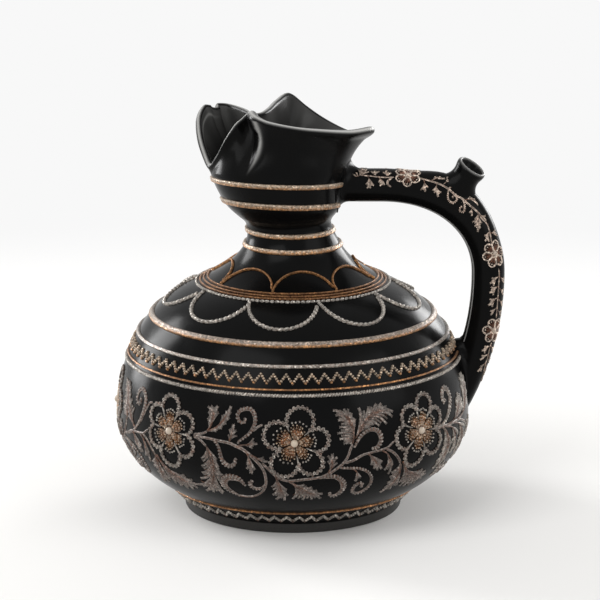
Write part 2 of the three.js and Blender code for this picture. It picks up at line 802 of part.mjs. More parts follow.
// One arch of cord from the collar. Its feet stand clear of the collar and of the next arch. Where
// the wall widens below the collar the arch keeps its width, so it narrows as an angle.
function scallopPath(middle, halfAngle, startRun, rise) {
  const steps = 8;
  const startRadius = atRun(startRun).place.x;
  return Array.from({ length: steps + 1 }, (_, i) => {
    const turn = (Math.PI * i) / steps;
    const run = startRun + rise * Math.sin(turn) ** 0.8;
    const narrowing = Math.min(startRadius / atRun(run).place.x, 1);
    return [middle - halfAngle * narrowing * Math.cos(turn), run];
  });
}

function makeScallops() {
  const innerRadius = collar.radius - (collar.rings - 1) * collar.pitch;
  const offRing = collar.width / 2 + clearance;
  const upperRun = runAtRadius(innerRadius) + offRing + upperScallop.width / 2;
  for (let i = 0; i < upperScallop.count; i += 1) {
    const middle = radians(upperScallop.turn + (360 * i) / upperScallop.count);
    const half = Math.PI / upperScallop.count - upperScallop.gap / innerRadius;
    const path = scallopPath(middle, half, upperRun, upperScallop.rise);
    const arch = raisedCord(path, upperScallop.width, upperScallop.thickness, false);
    addPiece(`upper_scallop_${i + 1}`, arch, 'gold');
  }
  const lowerRun = runAtRadius(collar.radius) - offRing - lowerScallop.width / 2;
  for (let i = 0; i < lowerScallop.count; i += 1) {
    const middle = radians(lowerScallop.turn + (360 * i) / lowerScallop.count);
    const half = Math.PI / lowerScallop.count - lowerScallop.gap / collar.radius;
    const path = scallopPath(middle, half, lowerRun, -lowerScallop.drop);
    const arch = raisedCord(path, lowerScallop.width, lowerScallop.thickness, false);
    addPiece(`lower_scallop_${i + 1}`, arch, 'silver');
  }
}

// Distance of the petal outline from the flower's middle, in a direction from a petal's own axis:
// each petal is a circle, seen past the point where its neighbour's circle crosses it.
function petalReach(turn) {
  const { petalReach: reach, petalRadius: radius } = flower;
  const inside = radius ** 2 - (reach * Math.sin(turn)) ** 2;
  return reach * Math.cos(turn) + Math.sqrt(Math.max(inside, 0));
}

// Flowers evenly round the belly from one side of the handle to the other, with none under its foot
function makeFlowers() {
  const run = atHeight(outside, widest + flower.aboveWidest).run;
  const radius = atRun(run).place.x;
  const stepsPerPetal = 8;
  const count = flower.petals * stepsPerPetal;
  const petalTurn = (2 * Math.PI) / flower.petals;
  for (let k = 0; k < flower.count; k += 1) {
    const middle = radians(flower.first - flower.pitch * k);
    const path = Array.from({ length: count }, (_, i) => {
      const turn = (2 * Math.PI * i) / count;
      const own = turn - petalTurn * Math.round(turn / petalTurn);
      const reach = petalReach(own);
      return [middle + (reach * Math.sin(turn)) / radius, run + reach * Math.cos(turn)];
    });
    const outline = raisedCord(path, flower.cordWidth, flower.cordThickness, true);
    addPiece(`flower_${k + 1}`, outline, 'silver');
    addPiece(`flower_centre_${k + 1}`, pearl(middle, run), 'pearl');
  }
}

// Small dome that stands on the wall
function pearl(angle, run) {
  const { pearlRadius: radius, pearlHeight: height } = flower;
  const steps = 8;
  const base = wallPoint(angle, run, clearance);
  const up = wallPoint(angle, run, clearance + 1).sub(base);
  const dome = new THREE.LatheGeometry([
    new THREE.Vector2(0, 0),
    new THREE.Vector2(radius, 0),
    new THREE.Vector2(radius * 0.8, height * 0.62),
    new THREE.Vector2(0, height),
  ], steps);
  const stand = new THREE.Quaternion().setFromUnitVectors(new THREE.Vector3(0, 1, 0), up);
  dome.applyQuaternion(stand);
  dome.translate(base.x, base.y, base.z);
  return cleanSolid(dome);
}

makeFoot();
makeLowerBelly();
makeUpperBelly();
makeNeck();
makeMouthCup();
makeHandle();
makeSpout();
makeBands();
makeCollar();
makeZigzags();
makeScallops();
makeFlowers();

export default jug;
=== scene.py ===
"""Looks of a black glazed drinking jug with a pinched mouth, raised bands, flowers and foliage.

The jug's axis is Z, its handle is on +X and the side that faces the camera is -Y. The shape
functions count in millimetres and radians, and the meshes are made in metres.
"""

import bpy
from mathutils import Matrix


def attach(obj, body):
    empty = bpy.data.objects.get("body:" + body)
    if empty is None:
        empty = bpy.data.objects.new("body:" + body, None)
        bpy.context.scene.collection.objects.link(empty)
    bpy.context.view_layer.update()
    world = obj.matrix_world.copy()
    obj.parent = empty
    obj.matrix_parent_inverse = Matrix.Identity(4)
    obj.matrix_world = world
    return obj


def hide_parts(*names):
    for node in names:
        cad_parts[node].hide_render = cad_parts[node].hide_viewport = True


bl_info = {
    "name": "Pinched-mouth ceramic jug",
    "version": (1, 0, 0),
    "blender": (4, 5, 0),
    "location": "View3D > Sidebar > Jug",
    "description": "Builds the glazed jug, its raised enamel ornament and a plain studio stage",
    "category": "Object",
}

import math

import bmesh
import bpy
import numpy as np
from mathutils import Vector
from mathutils.bvhtree import BVHTree

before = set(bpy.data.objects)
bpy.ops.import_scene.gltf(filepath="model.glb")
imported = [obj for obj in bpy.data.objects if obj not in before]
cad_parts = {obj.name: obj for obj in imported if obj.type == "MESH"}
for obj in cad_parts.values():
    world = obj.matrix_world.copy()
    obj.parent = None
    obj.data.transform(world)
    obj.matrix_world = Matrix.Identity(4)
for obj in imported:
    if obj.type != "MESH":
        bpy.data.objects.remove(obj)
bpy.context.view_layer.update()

MM = 0.001
# Steps round a piece that is turned on the wheel, and sides of the handle's and spout's tubes
TURN_STEPS = 240
TUBE_SIDES = 56


def linear(code):
    """Linear RGB of an sRGB hex colour."""
    parts = [int(code[i:i + 2], 16) / 255 for i in (0, 2, 4)]
    return tuple(c / 12.92 if c <= 0.04045 else ((c + 0.055) / 1.055) ** 2.4 for c in parts)


def length(label, millimetres, description):
    """A size that the user can change, kept in metres."""
    return bpy.props.FloatProperty(
        name=label, description=description, default=millimetres * MM, min=0.0, unit="LENGTH",
        subtype="DISTANCE")


def colour(label, code, description):
    """A colour that the user can change."""
    return bpy.props.FloatVectorProperty(
        name=label, description=description, default=linear(code), min=0.0, max=1.0, size=3,
        subtype="COLOR")


class JugSizes(bpy.types.PropertyGroup):
    """Sizes of the jug and of its raised ornament."""

    foot_radius: length("Foot radius", 68, "Radius of the unglazed foot")
    foot_height: length("Foot height", 6, "Height of the foot's edge")
    heel_radius: length("Heel radius", 77, "Radius where the heel turns into the belly")
    heel_rise: length("Heel rise", 9.5, "Height of the heel above the foot")
    belly_radius: length("Belly radius", 110, "Radius at the widest line")
    belly_drop: length("Belly drop", 44.5, "Height from the heel to the widest line")
    belly_wall: length("Belly wall", 5, "Thickness of the belly's wall")
    shoulder_rise: length("Shoulder rise", 83.2, "Height from the widest line to the collar")
    shoulder_fullness: length("Shoulder fullness", 33.8, "How far up the belly stays upright")
    shoulder_reach: length("Shoulder reach", 38.3, "How far the shoulder keeps the collar's slope")
    collar_radius: length("Collar radius", 60, "Radius of the outermost collar ring")
    collar_pitch: length("Collar pitch", 2.35, "Distance from one collar ring to the next")
    neck_waist: length("Neck waist", 26.4, "Radius of the neck at its narrowest")
    neck_rise: length("Neck rise", 36.8, "Height from the collar to the waist")
    neck_wall: length("Neck wall", 4.4, "Thickness of the neck's wall")
    cup_band_radius: length("Cup band radius", 41, "Radius of the cup at its upper band")
    cup_foot_radius: length("Cup foot radius", 36.4, "Radius of the cup at its lower band")
    cup_offset: length("Cup offset", 9.3, "How far the cup stands back from the handle")
    cup_wall: length("Cup wall", 4, "Thickness of the cup's wall")
    mouth_length: length("Mouth length", 108.8, "Length of the mouth from lobe to lip")
    mouth_width: length("Mouth width", 95, "Width of the mouth across")
    mouth_rise: length("Mouth rise", 43, "Height of the rim's top above the cup's band")
    fold_bow: length("Fold bow", 5, "How far the fold under the mouth's pinch bows sideways")
    knob: length("Knob", 2.8, "How far the rolled end of the rim stands out over the fold")
    handle_radius: length("Handle radius", 10.3, "Radius of the handle's tube")
    handle_stand: length("Handle stand", 11.4, "Distance of the handle's line from the belly")
    gusset: length("Gusset", 5.3, "How far the outside of the handle's corner stands out")
    spout_radius: length("Spout radius", 8.8, "Radius of the small spout's waist")
    spout_rim: length("Spout rim", 9.7, "Radius of the small spout's rim")
    spout_bore: length("Spout bore", 5, "Radius of the hole in the small spout")
    spout_length: length("Spout length", 27, "Length of the small spout from the handle's line")
    band_width: length("Band width", 4, "Width of the raised band on the shoulder")
    narrow_band: length("Narrow band", 3.1, "Width of the raised bands on the cup and neck")
    band_height: length("Band height", 1.4, "How far the raised bands stand out")
    bead_width: length("Bead width", 1.95, "Width of the beads of the zigzags")
    petal_cord: length("Petal cord", 3, "Width of the looped cord round the petals")
    pearl_radius: length("Pearl radius", 2.35, "Radius of the pearl in the middle of a flower")
    leaf_height: length("Leaf height", 0.6, "How far the leaves stand out")


class JugColours(bpy.types.PropertyGroup):
    """Colours of the glaze, the enamels and the stage."""

    glaze: colour("Glaze", "08090a", "Near-black glaze")
    # The thin glaze colour is also used as painted highlight on rims, lips, edge lines and the
    # mouth's fold, and as painted reflection inside the cup
    thin_glaze_and_highlight: colour("Thin glaze", "bebdba", "Glaze where it runs thin over an edge")
    champagne: colour("Champagne", "aa9a88", "Pale raised enamel")
    gold: colour("Gold", "9a6e45", "Gold-copper raised enamel")
    silver: colour("Silver", "a39d95", "Silver-grey raised enamel")
    cream: colour("Cream", "c6b5a6", "Cream raised enamel of the garland")
    rose: colour("Rose", "94877c", "Greyed rose raised enamel of the wide shoulder band")
    mauve: colour("Mauve", "817a74", "Mauve-grey raised enamel of the leaves")
    copper: colour("Copper", "5c3b2a", "Brown-copper ribs and shadows of the ornament")
    pearl: colour("Pearl", "bfb09f", "Satin pearl enamel")
    clay: colour("Clay", "1b1a19", "Bare dark clay of the foot")
    floor: colour("Floor", "f4f3f1", "Pale studio floor")
    surround: colour("Surround", "f8f8f8", "Plain surround behind the jug")


def mm(name):
    """One of the jug's sizes in millimetres."""
    return getattr(bpy.context.scene.jug_sizes, name) / MM


def paint(name):
    """One of the jug's colours, with alpha."""
    return (*getattr(bpy.context.scene.jug_colours, name), 1.0)


# The rim of the mouth as knots of a closed smooth line, from the tip over the handle round by way
# of the front: the angle on the cup's base that the wall grows from, in degrees from +X, the place
# along and across the mouth and the height as shares of its length, width and rise, how far the
# wall flares out there, and how far it bows towards the handle halfway up.
RIM_KNOTS = np.array([
    (0, 0.532, 0, 0.656, 0.66, 0),
    (-28, 0.403, -0.221, 0.693, 0.56, 0),
    (-55, 0.205, -0.4, 0.787, 0.4, 0),
    (-75, 0.076, -0.45, 0.846, 0.27, 0.1),
    (-93, -0.045, -0.415, 0.895, 0.2, 0.45),
    (-106, -0.105, -0.365, 0.93, 0.12, 0.8),
    (-115, -0.134, -0.3, 0.95, 0.05, 1),
    (-119, -0.145, -0.225, 0.963, 0, 1),
    (-122, -0.158, -0.175, 0.957, 0, 1),
    (-128, -0.19, -0.185, 0.88, 0.02, 0.8),
    (-137, -0.24, -0.22, 0.768, 0.05, 0.45),
    (-148, -0.302, -0.215, 0.545, 0.08, 0.15),
    (-160, -0.348, -0.155, 0.316, 0.09, 0),
    (-174, -0.389, -0.063, 0.149, 0.07, 0),
    (-188, -0.431, 0.027, 0.311, 0.11, 0),
    (-198, -0.46, 0.095, 0.535, 0.14, 0),
    (-208, -0.466, 0.168, 0.763, 0.14, 0),
    (-217, -0.435, 0.25, 0.9, 0.18, 0),
    (-223, -0.392, 0.277, 0.905, 0.12, 0),
    (-227, -0.366, 0.283, 0.865, 0.12, 0),
    (-231, -0.35, 0.318, 0.912, 0.18, 0),
    (-240, -0.264, 0.305, 0.912, 0.14, 0),
    (-250, -0.181, 0.168, 0.903, 0.04, 0),
    (-257, -0.121, 0.058, 0.879, 0, 0),
    (-264, -0.069, 0.179, 0.903, 0.07, 0),
    (-272, -0.025, 0.347, 0.954, 0.18, 0),
    (-282, 0.044, 0.516, 0.99, 0.36, 0),
    (-297, 0.152, 0.547, 0.79, 0.45, 0),
    (-316, 0.28, 0.432, 0.612, 0.5, 0),
    (-336, 0.414, 0.226, 0.515, 0.58, 0),
    (-349, 0.494, 0.1, 0.558, 0.63, 0),
])


def smoothstep(value, low, high):
    """0 below the low value, 1 above the high one, and a smooth rise between them."""
    share = np.clip((value - low) / (high - low), 0, 1)
    return share * share * (3 - 2 * share)


def bezier(a, b, c, d):
    """Points of a curve from a to d, which starts towards b and arrives from c."""
    share = np.linspace(0, 1, 91)[:, None]
    rest = 1 - share
    return (
        rest ** 3 * np.array(a) + 3 * rest ** 2 * share * np.array(b)
        + 3 * rest * share ** 2 * np.array(c) + share ** 3 * np.array(d)
    )


def arc(base, control, tip, t):
    """Points of a curve from base to tip that is drawn towards a control point."""
    return (1 - t) ** 2 * base + 2 * t * (1 - t) * control + t ** 2 * tip


def between_knots(a, b, c, d, t):
    """Value on the smooth line through four knots, from b, where t is 0, to c, where it is 1."""
    return 0.5 * (
        2 * b + (c - a) * t + (2 * a - 5 * b + 4 * c - d) * t ** 2
        + (3 * b - a - 3 * c + d) * t ** 3
    )


def unit(vectors):
    """Vectors of length 1 in the same directions."""
    return vectors / np.linalg.norm(vectors, axis=-1, keepdims=True)


def run_lengths(path):
    """Distance along a path at each of its points."""
    gaps = np.linalg.norm(np.diff(path, axis=0), axis=1)
    return np.concatenate([[0], np.cumsum(gaps)])


def at_runs(path, runs, at):
    """Flat points or directions of a path at distances along it."""
    return np.stack([np.interp(at, runs, path[:, k]) for k in (0, 1)], axis=-1)


class JugShape:
    """The jug's walls as formulas of its sizes."""

    # Rises from one mark on the wall to the next
    neck_seam_rise = 14.8
    cup_seat_rise = 5
    cup_foot_rise = 8
    cup_band_rise = 15.4
    # Slope of the shoulder at the collar, how far up the neck it is felt, and how far below the
    # waist the neck is nearly upright
    collar_slope = math.radians(22.2)
    neck_sweep = 15.3
    neck_upright = 19.2
    # The neck leans over this height below the cup's band, and the cup sits tilted on it
    lean_height = 44
    tilt = math.tan(math.radians(2))
    tilt_back = math.tan(math.radians(5))
    # How strongly the cup's wall flares where a knot of the rim says 1
    rim_flare = 56
    # Drop of the handle's arm below the cup's band, its hidden start in the cup, the size of its
    # corner, and how far above the widest line and how deep in the belly it ends
    arm_drop = 4.7
    arm_start = 20
    corner_length = 67.4
    corner_height = 56
    handle_foot_rise = 19
    handle_foot_depth = 3
    # Runs along the handle where its corner starts to stand out, does so most, and ends
    gusset_runs = (36, 62, 106)

    def __init__(self):
        self.foot_top = mm("foot_height")
        self.heel_top = self.foot_top + mm("heel_rise")
        self.widest = self.heel_top + mm("belly_drop")
        self.collar = self.widest + mm("shoulder_rise")
        self.waist = self.collar + mm("neck_rise")
        self.neck_seam = self.collar + self.neck_seam_rise
        self.cup_seat = self.waist + self.cup_seat_rise
        self.cup_foot = self.cup_seat + self.cup_foot_rise
        self.cup_band = self.cup_foot + self.cup_band_rise
        self.arm = self.cup_band - self.arm_drop
        self.opening = (mm("cup_band_radius") - mm("cup_foot_radius")) / self.cup_band_rise
        self.outside = self.outside_line()
        tangents = unit(np.gradient(self.outside, axis=0))
        self.normals = np.stack([tangents[:, 1], -tangents[:, 0]], axis=1)
        self.runs = run_lengths(self.outside)
        self.line_handle()

    def outside_line(self):
        """Half section of the wall's outside from the foot to the cup's upper band."""
        heel, belly = mm("heel_radius"), mm("belly_radius")
        waist, cup_foot = mm("neck_waist"), mm("cup_foot_radius")
        depth = mm("belly_drop") / math.sqrt(1 - (heel / belly) ** 2)
        turn = np.linspace(-math.acos(heel / belly), 0, 91)
        bowl = np.stack([belly * np.cos(turn), self.widest + depth * np.sin(turn)], axis=1)
        along = np.array([math.cos(self.collar_slope), -math.sin(self.collar_slope)])
        corner = np.array([mm("collar_radius"), self.collar])
        above_waist, below_cup = 4, 5
        parts = [
            np.linspace((mm("foot_radius"), self.foot_top), (heel, self.heel_top), 13),
            bowl,
            bezier(
                (belly, self.widest),
                (belly, self.widest + mm("shoulder_fullness")),
                corner + along * mm("shoulder_reach"),
                corner,
            ),
            bezier(
                corner,
                corner - along * self.neck_sweep,
                (waist, self.waist - self.neck_upright),
                (waist, self.waist),
            ),
            bezier(
                (waist, self.waist),
                (waist, self.waist + above_waist),
                (cup_foot - self.opening * below_cup, self.cup_foot - below_cup),
                (cup_foot, self.cup_foot),
            ),
            np.linspace((cup_foot, self.cup_foot), (mm("cup_band_radius"), self.cup_band), 13),
        ]
        return np.concatenate([parts[0]] + [part[1:] for part in parts[1:]])

    def run_at_height(self, height):
        """Run along the wall's outside at a height."""
        return float(np.interp(height, self.outside[:, 1], self.runs))

    def run_at_radius(self, radius):
        """Run on the shoulder or neck where the wall has a radius."""
        top = (self.runs >= self.run_at_height(self.widest)) & (
            self.runs <= self.run_at_height(self.waist))
        return float(np.interp(-radius, -self.outside[top, 0], self.runs[top]))

    def radius_at_run(self, run):
        """Radius of the wall at a run along it."""
        return float(np.interp(run, self.runs, self.outside[:, 0]))

    def profile(self, run, rise=0.0):
        """Radius and height of the wall at runs along it, lifted off it by a rise."""
        place = at_runs(self.outside, self.runs, run)
        normal = at_runs(self.normals, self.runs, run)
        return place[..., 0] + normal[..., 0] * rise, place[..., 1] + normal[..., 1] * rise

    def settle(self, points):
        """Leans the neck away from the handle and tilts the cup on it."""
        x, y, z = points[..., 0], points[..., 1], points[..., 2]
        tilted = np.clip((z - self.cup_seat) / (self.cup_foot - self.cup_seat), 0, 1)
        lean = mm("cup_offset") * smoothstep(z, self.cup_band - self.lean_height, self.cup_band)
        return np.stack([x - lean, y, z - tilted * (self.tilt * x + self.tilt_back * y)], axis=-1)

    def wall(self, angle, run, rise=0.0):
        """Points of the wall at angles from the front, towards the handle, and runs along it."""
        radius, height = self.profile(run, rise)
        angle, radius, height = np.broadcast_arrays(angle, radius, height)
        around = [radius * np.sin(angle), -radius * np.cos(angle), height]
        return self.settle(np.stack(around, axis=-1))

    def rim_value(self, column, at, turns=0):
        """Value of a column of the rim's knots at places counted in knots."""
        count = len(RIM_KNOTS)
        knot = np.floor(at).astype(int)
        values = [
            RIM_KNOTS[(knot + step) % count, column] + turns * ((knot + step) // count)
            for step in (-1, 0, 1, 2)
        ]
        return between_knots(*values, at - knot)

    def cup_side(self, at, share):
        """Outside of the cup above its band, from the band, share 0, to the rim, share 1."""
        angle = np.radians(self.rim_value(0, at, -360))
        out = np.stack([np.cos(angle), np.sin(angle)], axis=-1)
        ring = mm("cup_band_radius") * out
        level = np.full(len(at), self.cup_band)
        base = self.settle(np.concatenate([ring, level[:, None]], axis=1))
        rim = np.stack([
            -mm("cup_offset") + self.rim_value(1, at) * mm("mouth_length"),
            self.rim_value(2, at) * mm("mouth_width"),
            self.cup_band + self.rim_value(3, at) * mm("mouth_rise"),
        ], axis=1)
        rise = (rim[:, 2] - base[:, 2])[:, None]
        start = out * self.opening * rise
        end = out * self.rim_value(4, at)[:, None] * self.rim_flare
        t = np.asarray(share)[:, None, None]
        to_rim = 3 * t ** 2 - 2 * t ** 3
        flat = (
            base[:, :2] * (1 - to_rim) + rim[:, :2] * to_rim
            + start * (t ** 3 - 2 * t ** 2 + t) + end * (t ** 3 - t ** 2)
        )
        flat[..., 0] += mm("fold_bow") * self.rim_value(5, at) * np.sin(math.pi * t[..., 0])
        level = base[:, 2] + rise[:, 0] * np.asarray(share)[:, None]
        return np.concatenate([flat, level[..., None]], axis=2)

    def cup_rings(self, at, low_steps, side_steps):
        """Rings of the cup's outside from its seat to the rim."""
        runs = np.linspace(
            self.run_at_height(self.cup_seat), self.run_at_height(self.cup_band), low_steps + 1)
        angle = np.radians(self.rim_value(0, at, -360)) + math.pi / 2
        low = self.wall(angle[None, :], runs[:-1, None], 0)
        return np.concatenate([low, self.cup_side(at, np.linspace(0, 1, side_steps + 1))])

    def line_handle(self):
        """Middle line of the handle: a level arm, a rounded corner and a drop to the belly."""
        self.cup_wall_x = mm("cup_band_radius") - mm("cup_offset")
        self.reach = mm("belly_radius") + mm("handle_stand")
        self.corner_start = self.reach - self.corner_length
        self.bend = self.arm - self.corner_height
        turn = np.linspace(0, math.pi / 2, 120)[1:]
        corner = self.corner_point(turn)
        share = np.linspace(0, 1.8, 120)[1:]
        inward = self.reach - (mm("belly_radius") - self.handle_foot_depth)
        drop = np.stack([
            self.reach - inward * share ** 2.1,
            self.bend - (self.bend - (self.widest + self.handle_foot_rise)) * share,
        ], axis=1)
        arm = np.linspace(
            (self.cup_wall_x - self.arm_start, self.arm), (self.corner_start, self.arm), 60)
        self.handle = np.concatenate([arm, corner, drop])
        self.handle_runs = run_lengths(self.handle) - self.arm_start
        forward = unit(np.gradient(self.handle, axis=0))
        self.handle_out = np.stack([-forward[:, 1], forward[:, 0]], axis=1)

    def corner_point(self, turn):
        """Point of the handle's rounded corner, turned from the arm towards the drop."""
        roundness = 2 / 2.14
        return np.stack([
            self.corner_start + self.corner_length * np.sin(turn) ** roundness,
            self.bend + self.corner_height * np.clip(np.cos(turn), 0, 1) ** roundness,
        ], axis=-1)

    def gusset_stand(self, run):
        """How far the handle's outer edge stands out at runs along it."""
        start, full, end = self.gusset_runs
        return mm("gusset") * smoothstep(run, start, full) * (1 - smoothstep(run, full, end))

    def handle_point(self, run, angle, radius):
        """Point at a run along the handle, turned by an angle from its outer edge to the front."""
        middle = at_runs(self.handle, self.handle_runs, run)
        out = at_runs(self.handle_out, self.handle_runs, run)
        stand = self.gusset_stand(run)
        away = radius * np.cos(angle) + stand * ((1 + np.cos(angle)) / 2) ** 1.5
        x = middle[..., 0] + away * out[..., 0]
        z = middle[..., 1] + away * out[..., 1]
        y = -radius * np.sin(angle)
        return np.stack(np.broadcast_arrays(x, y, z), axis=-1)

    def belly_map(self, degrees, base_run, reference=110.0):
        """Maps ornament drawn flat onto the wall: across, up and off it, from a middle point.

        The drawing keeps its width where the wall has the reference radius.
        """
        middle = math.radians(degrees)
        return lambda flat: self.wall(
            middle + flat[:, 0] / reference, base_run + flat[:, 1], flat[:, 2])

    def handle_map(self):
        """Maps ornament onto the handle: along it, from its outer edge to the front, and off it."""
        radius = mm("handle_radius")
        return lambda flat: self.handle_point(
            flat[:, 0], flat[:, 1] / radius, radius + flat[:, 2])


def grid_normals(rings):
    """Outward normals of a grid of closed rings that go clockwise, seen from above."""
    along = np.roll(rings, -1, axis=1) - np.roll(rings, 1, axis=1)
    above = np.gradient(rings, axis=0)
    return unit(np.cross(above, along))


def grid_faces(rows, columns, closed_rows=False, closed_columns=True):
    """Four-sided faces of a grid of points, kept row by row."""
    j = np.arange(rows if closed_rows else rows - 1)
    i = np.arange(columns if closed_columns else columns - 1)
    j, i = np.meshgrid(j, i, indexing="ij")
    up, across = (j + 1) % rows, (i + 1) % columns
    corners = [j * columns + i, j * columns + across, up * columns + across, up * columns + i]
    return np.stack(corners, axis=-1).reshape(-1, 4)


def end_faces(rows, columns):
    """Faces that close the first and the last ring of a grid."""
    first = np.arange(columns)
    return np.array([first[::-1], first + (rows - 1) * columns])


def make_piece(name, places, faces, finish, replaces=(), tone=None, sharp=38):
    """Makes a mesh object from points in millimetres, and ties it to the frame.

    Its finish gives the material. The tone is kept as an attribute of the points, which the
    materials read.
    which the materials read. Edges sharper than an angle in degrees stay crisp.
    """
    # No piece has the name of a node
    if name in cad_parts:
        name += "_fired"
    mesh = bpy.data.meshes.new(name)
    rows = [row for group in faces for row in group.tolist()]
    mesh.from_pydata((np.asarray(places) * MM).tolist(), [], rows)
    slot, *recipe = FINISHES[finish]
    mesh.materials.append(node_material(*recipe))
    if tone is not None:
        layer = mesh.attributes.new("tone", "FLOAT", "POINT")
        layer.data.foreach_set("value", np.asarray(tone, dtype=np.float32))
    work = bmesh.new()
    work.from_mesh(mesh)
    bmesh.ops.recalc_face_normals(work, faces=work.faces)
    work.to_mesh(mesh)
    work.free()
    mesh.shade_smooth()
    mesh.set_sharp_from_angle(angle=math.radians(sharp))
    piece = bpy.data.objects.new(name, mesh)
    bpy.context.scene.collection.objects.link(piece)
    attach(piece, "root")
    if replaces:
        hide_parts(*replaces)


def turned(shape, section):
    """Points of a closed section turned round the axis, leaning with the wall."""
    section = np.asarray(section)
    angle = np.linspace(0, 2 * math.pi, TURN_STEPS, endpoint=False)
    x = section[:, None, 0] * np.sin(angle)
    y = -section[:, None, 0] * np.cos(angle)
    z = np.broadcast_to(section[:, None, 1], x.shape)
    return shape.settle(np.stack([x, y, z], axis=-1)).reshape(-1, 3)


def resample(path, step):
    """Smooth curve through the points of a path, with even steps."""
    path = np.asarray(path, dtype=float)
    if len(path) > 2:
        ends = [2 * path[0] - path[1], 2 * path[-1] - path[-2]]
        full = np.concatenate([ends[:1], path, ends[1:]])
        t = np.linspace(0, 1, 9)[:-1, None]
        sets = zip(full[:-3], full[1:-2], full[2:-1], full[3:])
        path = np.concatenate([between_knots(*knots, t) for knots in sets] + [path[-1:]])
    runs = run_lengths(path)
    count = max(int(round(runs[-1] / step)), 2)
    return at_runs(path, runs, np.linspace(0, runs[-1], count + 1))


def directions(path, closed=False):
    """Unit tangents of a flat path."""
    if closed:
        return unit(np.roll(path, -1, axis=0) - np.roll(path, 1, axis=0))
    return unit(np.gradient(path, axis=0))


def to_the_left(along):
    """Flat directions turned a quarter turn to the left."""
    return np.stack([-along[:, 1], along[:, 0]], axis=1)


def dome(around=8):
    """Low round bead of half-size 1 that is sunk a little in the ground."""
    rings = [(1, -0.22), (0.93, 0.42), (0.6, 0.84)]
    angle = np.linspace(0, 2 * math.pi, around, endpoint=False)
    points = [np.stack([r * np.cos(angle), r * np.sin(angle), np.full(around, z)], axis=1)
              for r, z in rings]
    points = np.concatenate(points + [np.array([[0, 0, 1.0]])])
    top = len(rings) * around
    last = top - around
    cap = np.array([(last + i, last + (i + 1) % around, top) for i in range(around)])
    base = np.arange(around)[None, ::-1]
    return points, [grid_faces(len(rings), around), cap, base]


def loop():
    """Small flat ring of cord of outer half-size 1, half sunk in the ground."""
    around, tube, thickness = 12, 6, 0.34
    a = np.linspace(0, 2 * math.pi, around, endpoint=False)[:, None]
    b = np.linspace(0, 2 * math.pi, tube, endpoint=False)[None, :]
    radius = 1 - thickness + thickness * np.cos(b)
    points = np.stack([radius * np.cos(a), radius * np.sin(a), 0.35 + 0.65 * np.sin(b) + 0 * a],
                      axis=-1)
    return points.reshape(-1, 3), [grid_faces(around, tube, closed_rows=True)]


DOME = dome()
SMALL_DOME = dome(6)
LOOP = loop()


class Relief:
    """Raised work of many small closed shapes that are drawn flat and laid on a wall."""

    def __init__(self, place):
        self.place = place
        self.points, self.faces, self.tones, self.count = [], [], [], 0

    def add(self, flat, faces, tone):
        """Adds one mesh, given as flat places with a height and faces on them."""
        self.points.append(self.place(flat))
        self.faces.extend(group + self.count for group in faces)
        self.tones.append(np.broadcast_to(tone, len(flat)))
        self.count += len(flat)

    def stamp(self, template, centres, turns, sizes, tone=0.0):
        """Lays a shape at many places. Sizes are along and across its turn, and its height."""
        points, faces = template
        centres = np.asarray(centres, dtype=float)
        many = len(centres)
        sizes = np.broadcast_to(np.asarray(sizes, dtype=float), (many, 3))
        x = points[None, :, 0] * sizes[:, None, 0] / 2
        y = points[None, :, 1] * sizes[:, None, 1] / 2
        turns = np.broadcast_to(turns, many)
        c, s = np.cos(turns)[:, None], np.sin(turns)[:, None]
        flat = np.stack([
            centres[:, None, 0] + x * c - y * s,
            centres[:, None, 1] + x * s + y * c,
            points[None, :, 2] * sizes[:, None, 2],
        ], axis=-1)
        offsets = (np.arange(many) * len(points))[:, None, None]
        groups = [(group[None] + offsets).reshape(-1, group.shape[1]) for group in faces]
        tones = np.repeat(np.broadcast_to(tone, many), len(points))
        self.add(flat.reshape(-1, 3), groups, tones)

    def ridge(self, path, width, height, tone=0.0, ends=(0.35, 0.35), step=0.9):
        """Raised line with a rounded back. Widths are spread evenly along it."""
        path = resample(path, step)
        many = len(path)
        share = np.linspace(0, 1, many)
        widths = np.interp(share, np.linspace(0, 1, np.size(width)), np.atleast_1d(width))
        edge = np.minimum(share, 1 - share) * (many - 1)
        blunt = np.where(share < 0.5, ends[0], ends[1])
        widths = widths * np.where(edge < 1, blunt + (1 - blunt) * edge, 1)
        rises = height * np.where(edge < 1, 0.45 + 0.55 * edge, 1)
        across = to_the_left(directions(path))
        section = np.array([(-0.5, -0.25), (-0.4, 0.55), (-0.16, 0.96), (0.16, 0.96),
                            (0.4, 0.55), (0.5, -0.25)])
        around = len(section)
        flat = np.empty((many, around, 3))
        flat[:, :, :2] = path[:, None] + across[:, None] * (
            widths[:, None, None] * section[None, :, :1])
        flat[:, :, 2] = rises[:, None] * section[None, :, 1]
        faces = [grid_faces(many, around), end_faces(many, around)]
        self.add(flat.reshape(-1, 3), faces, tone)

    def lobe(self, base, control, tip, width, height, tone=0.0):
        """Leaf lobe that leaves its rib along a curve and ends round."""
        path = arc(base, control, tip, np.linspace(0, 1, 7)[:, None])
        widths = width * np.array([0.5, 0.7, 0.9, 1.0, 0.95, 0.75, 0.42])
        self.ridge(path, widths, height, tone, ends=(0.5, 0.5))

    def build(self, name, finish, replaces=()):
        """Makes the piece of all that was added."""
        make_piece(name, np.concatenate(self.points), self.faces, finish, replaces,
                   tone=np.concatenate(self.tones))


def add_node(tree, kind, inputs=(), **settings):
    """Adds a node, sets its fields, and links or sets its inputs."""
    node = tree.nodes.new(kind)
    for field, value in settings.items():
        setattr(node, field, value)
    for socket, value in dict(inputs).items():
        if isinstance(value, bpy.types.NodeSocket):
            tree.links.new(value, node.inputs[socket])
        else:
            node.inputs[socket].default_value = value
    return node


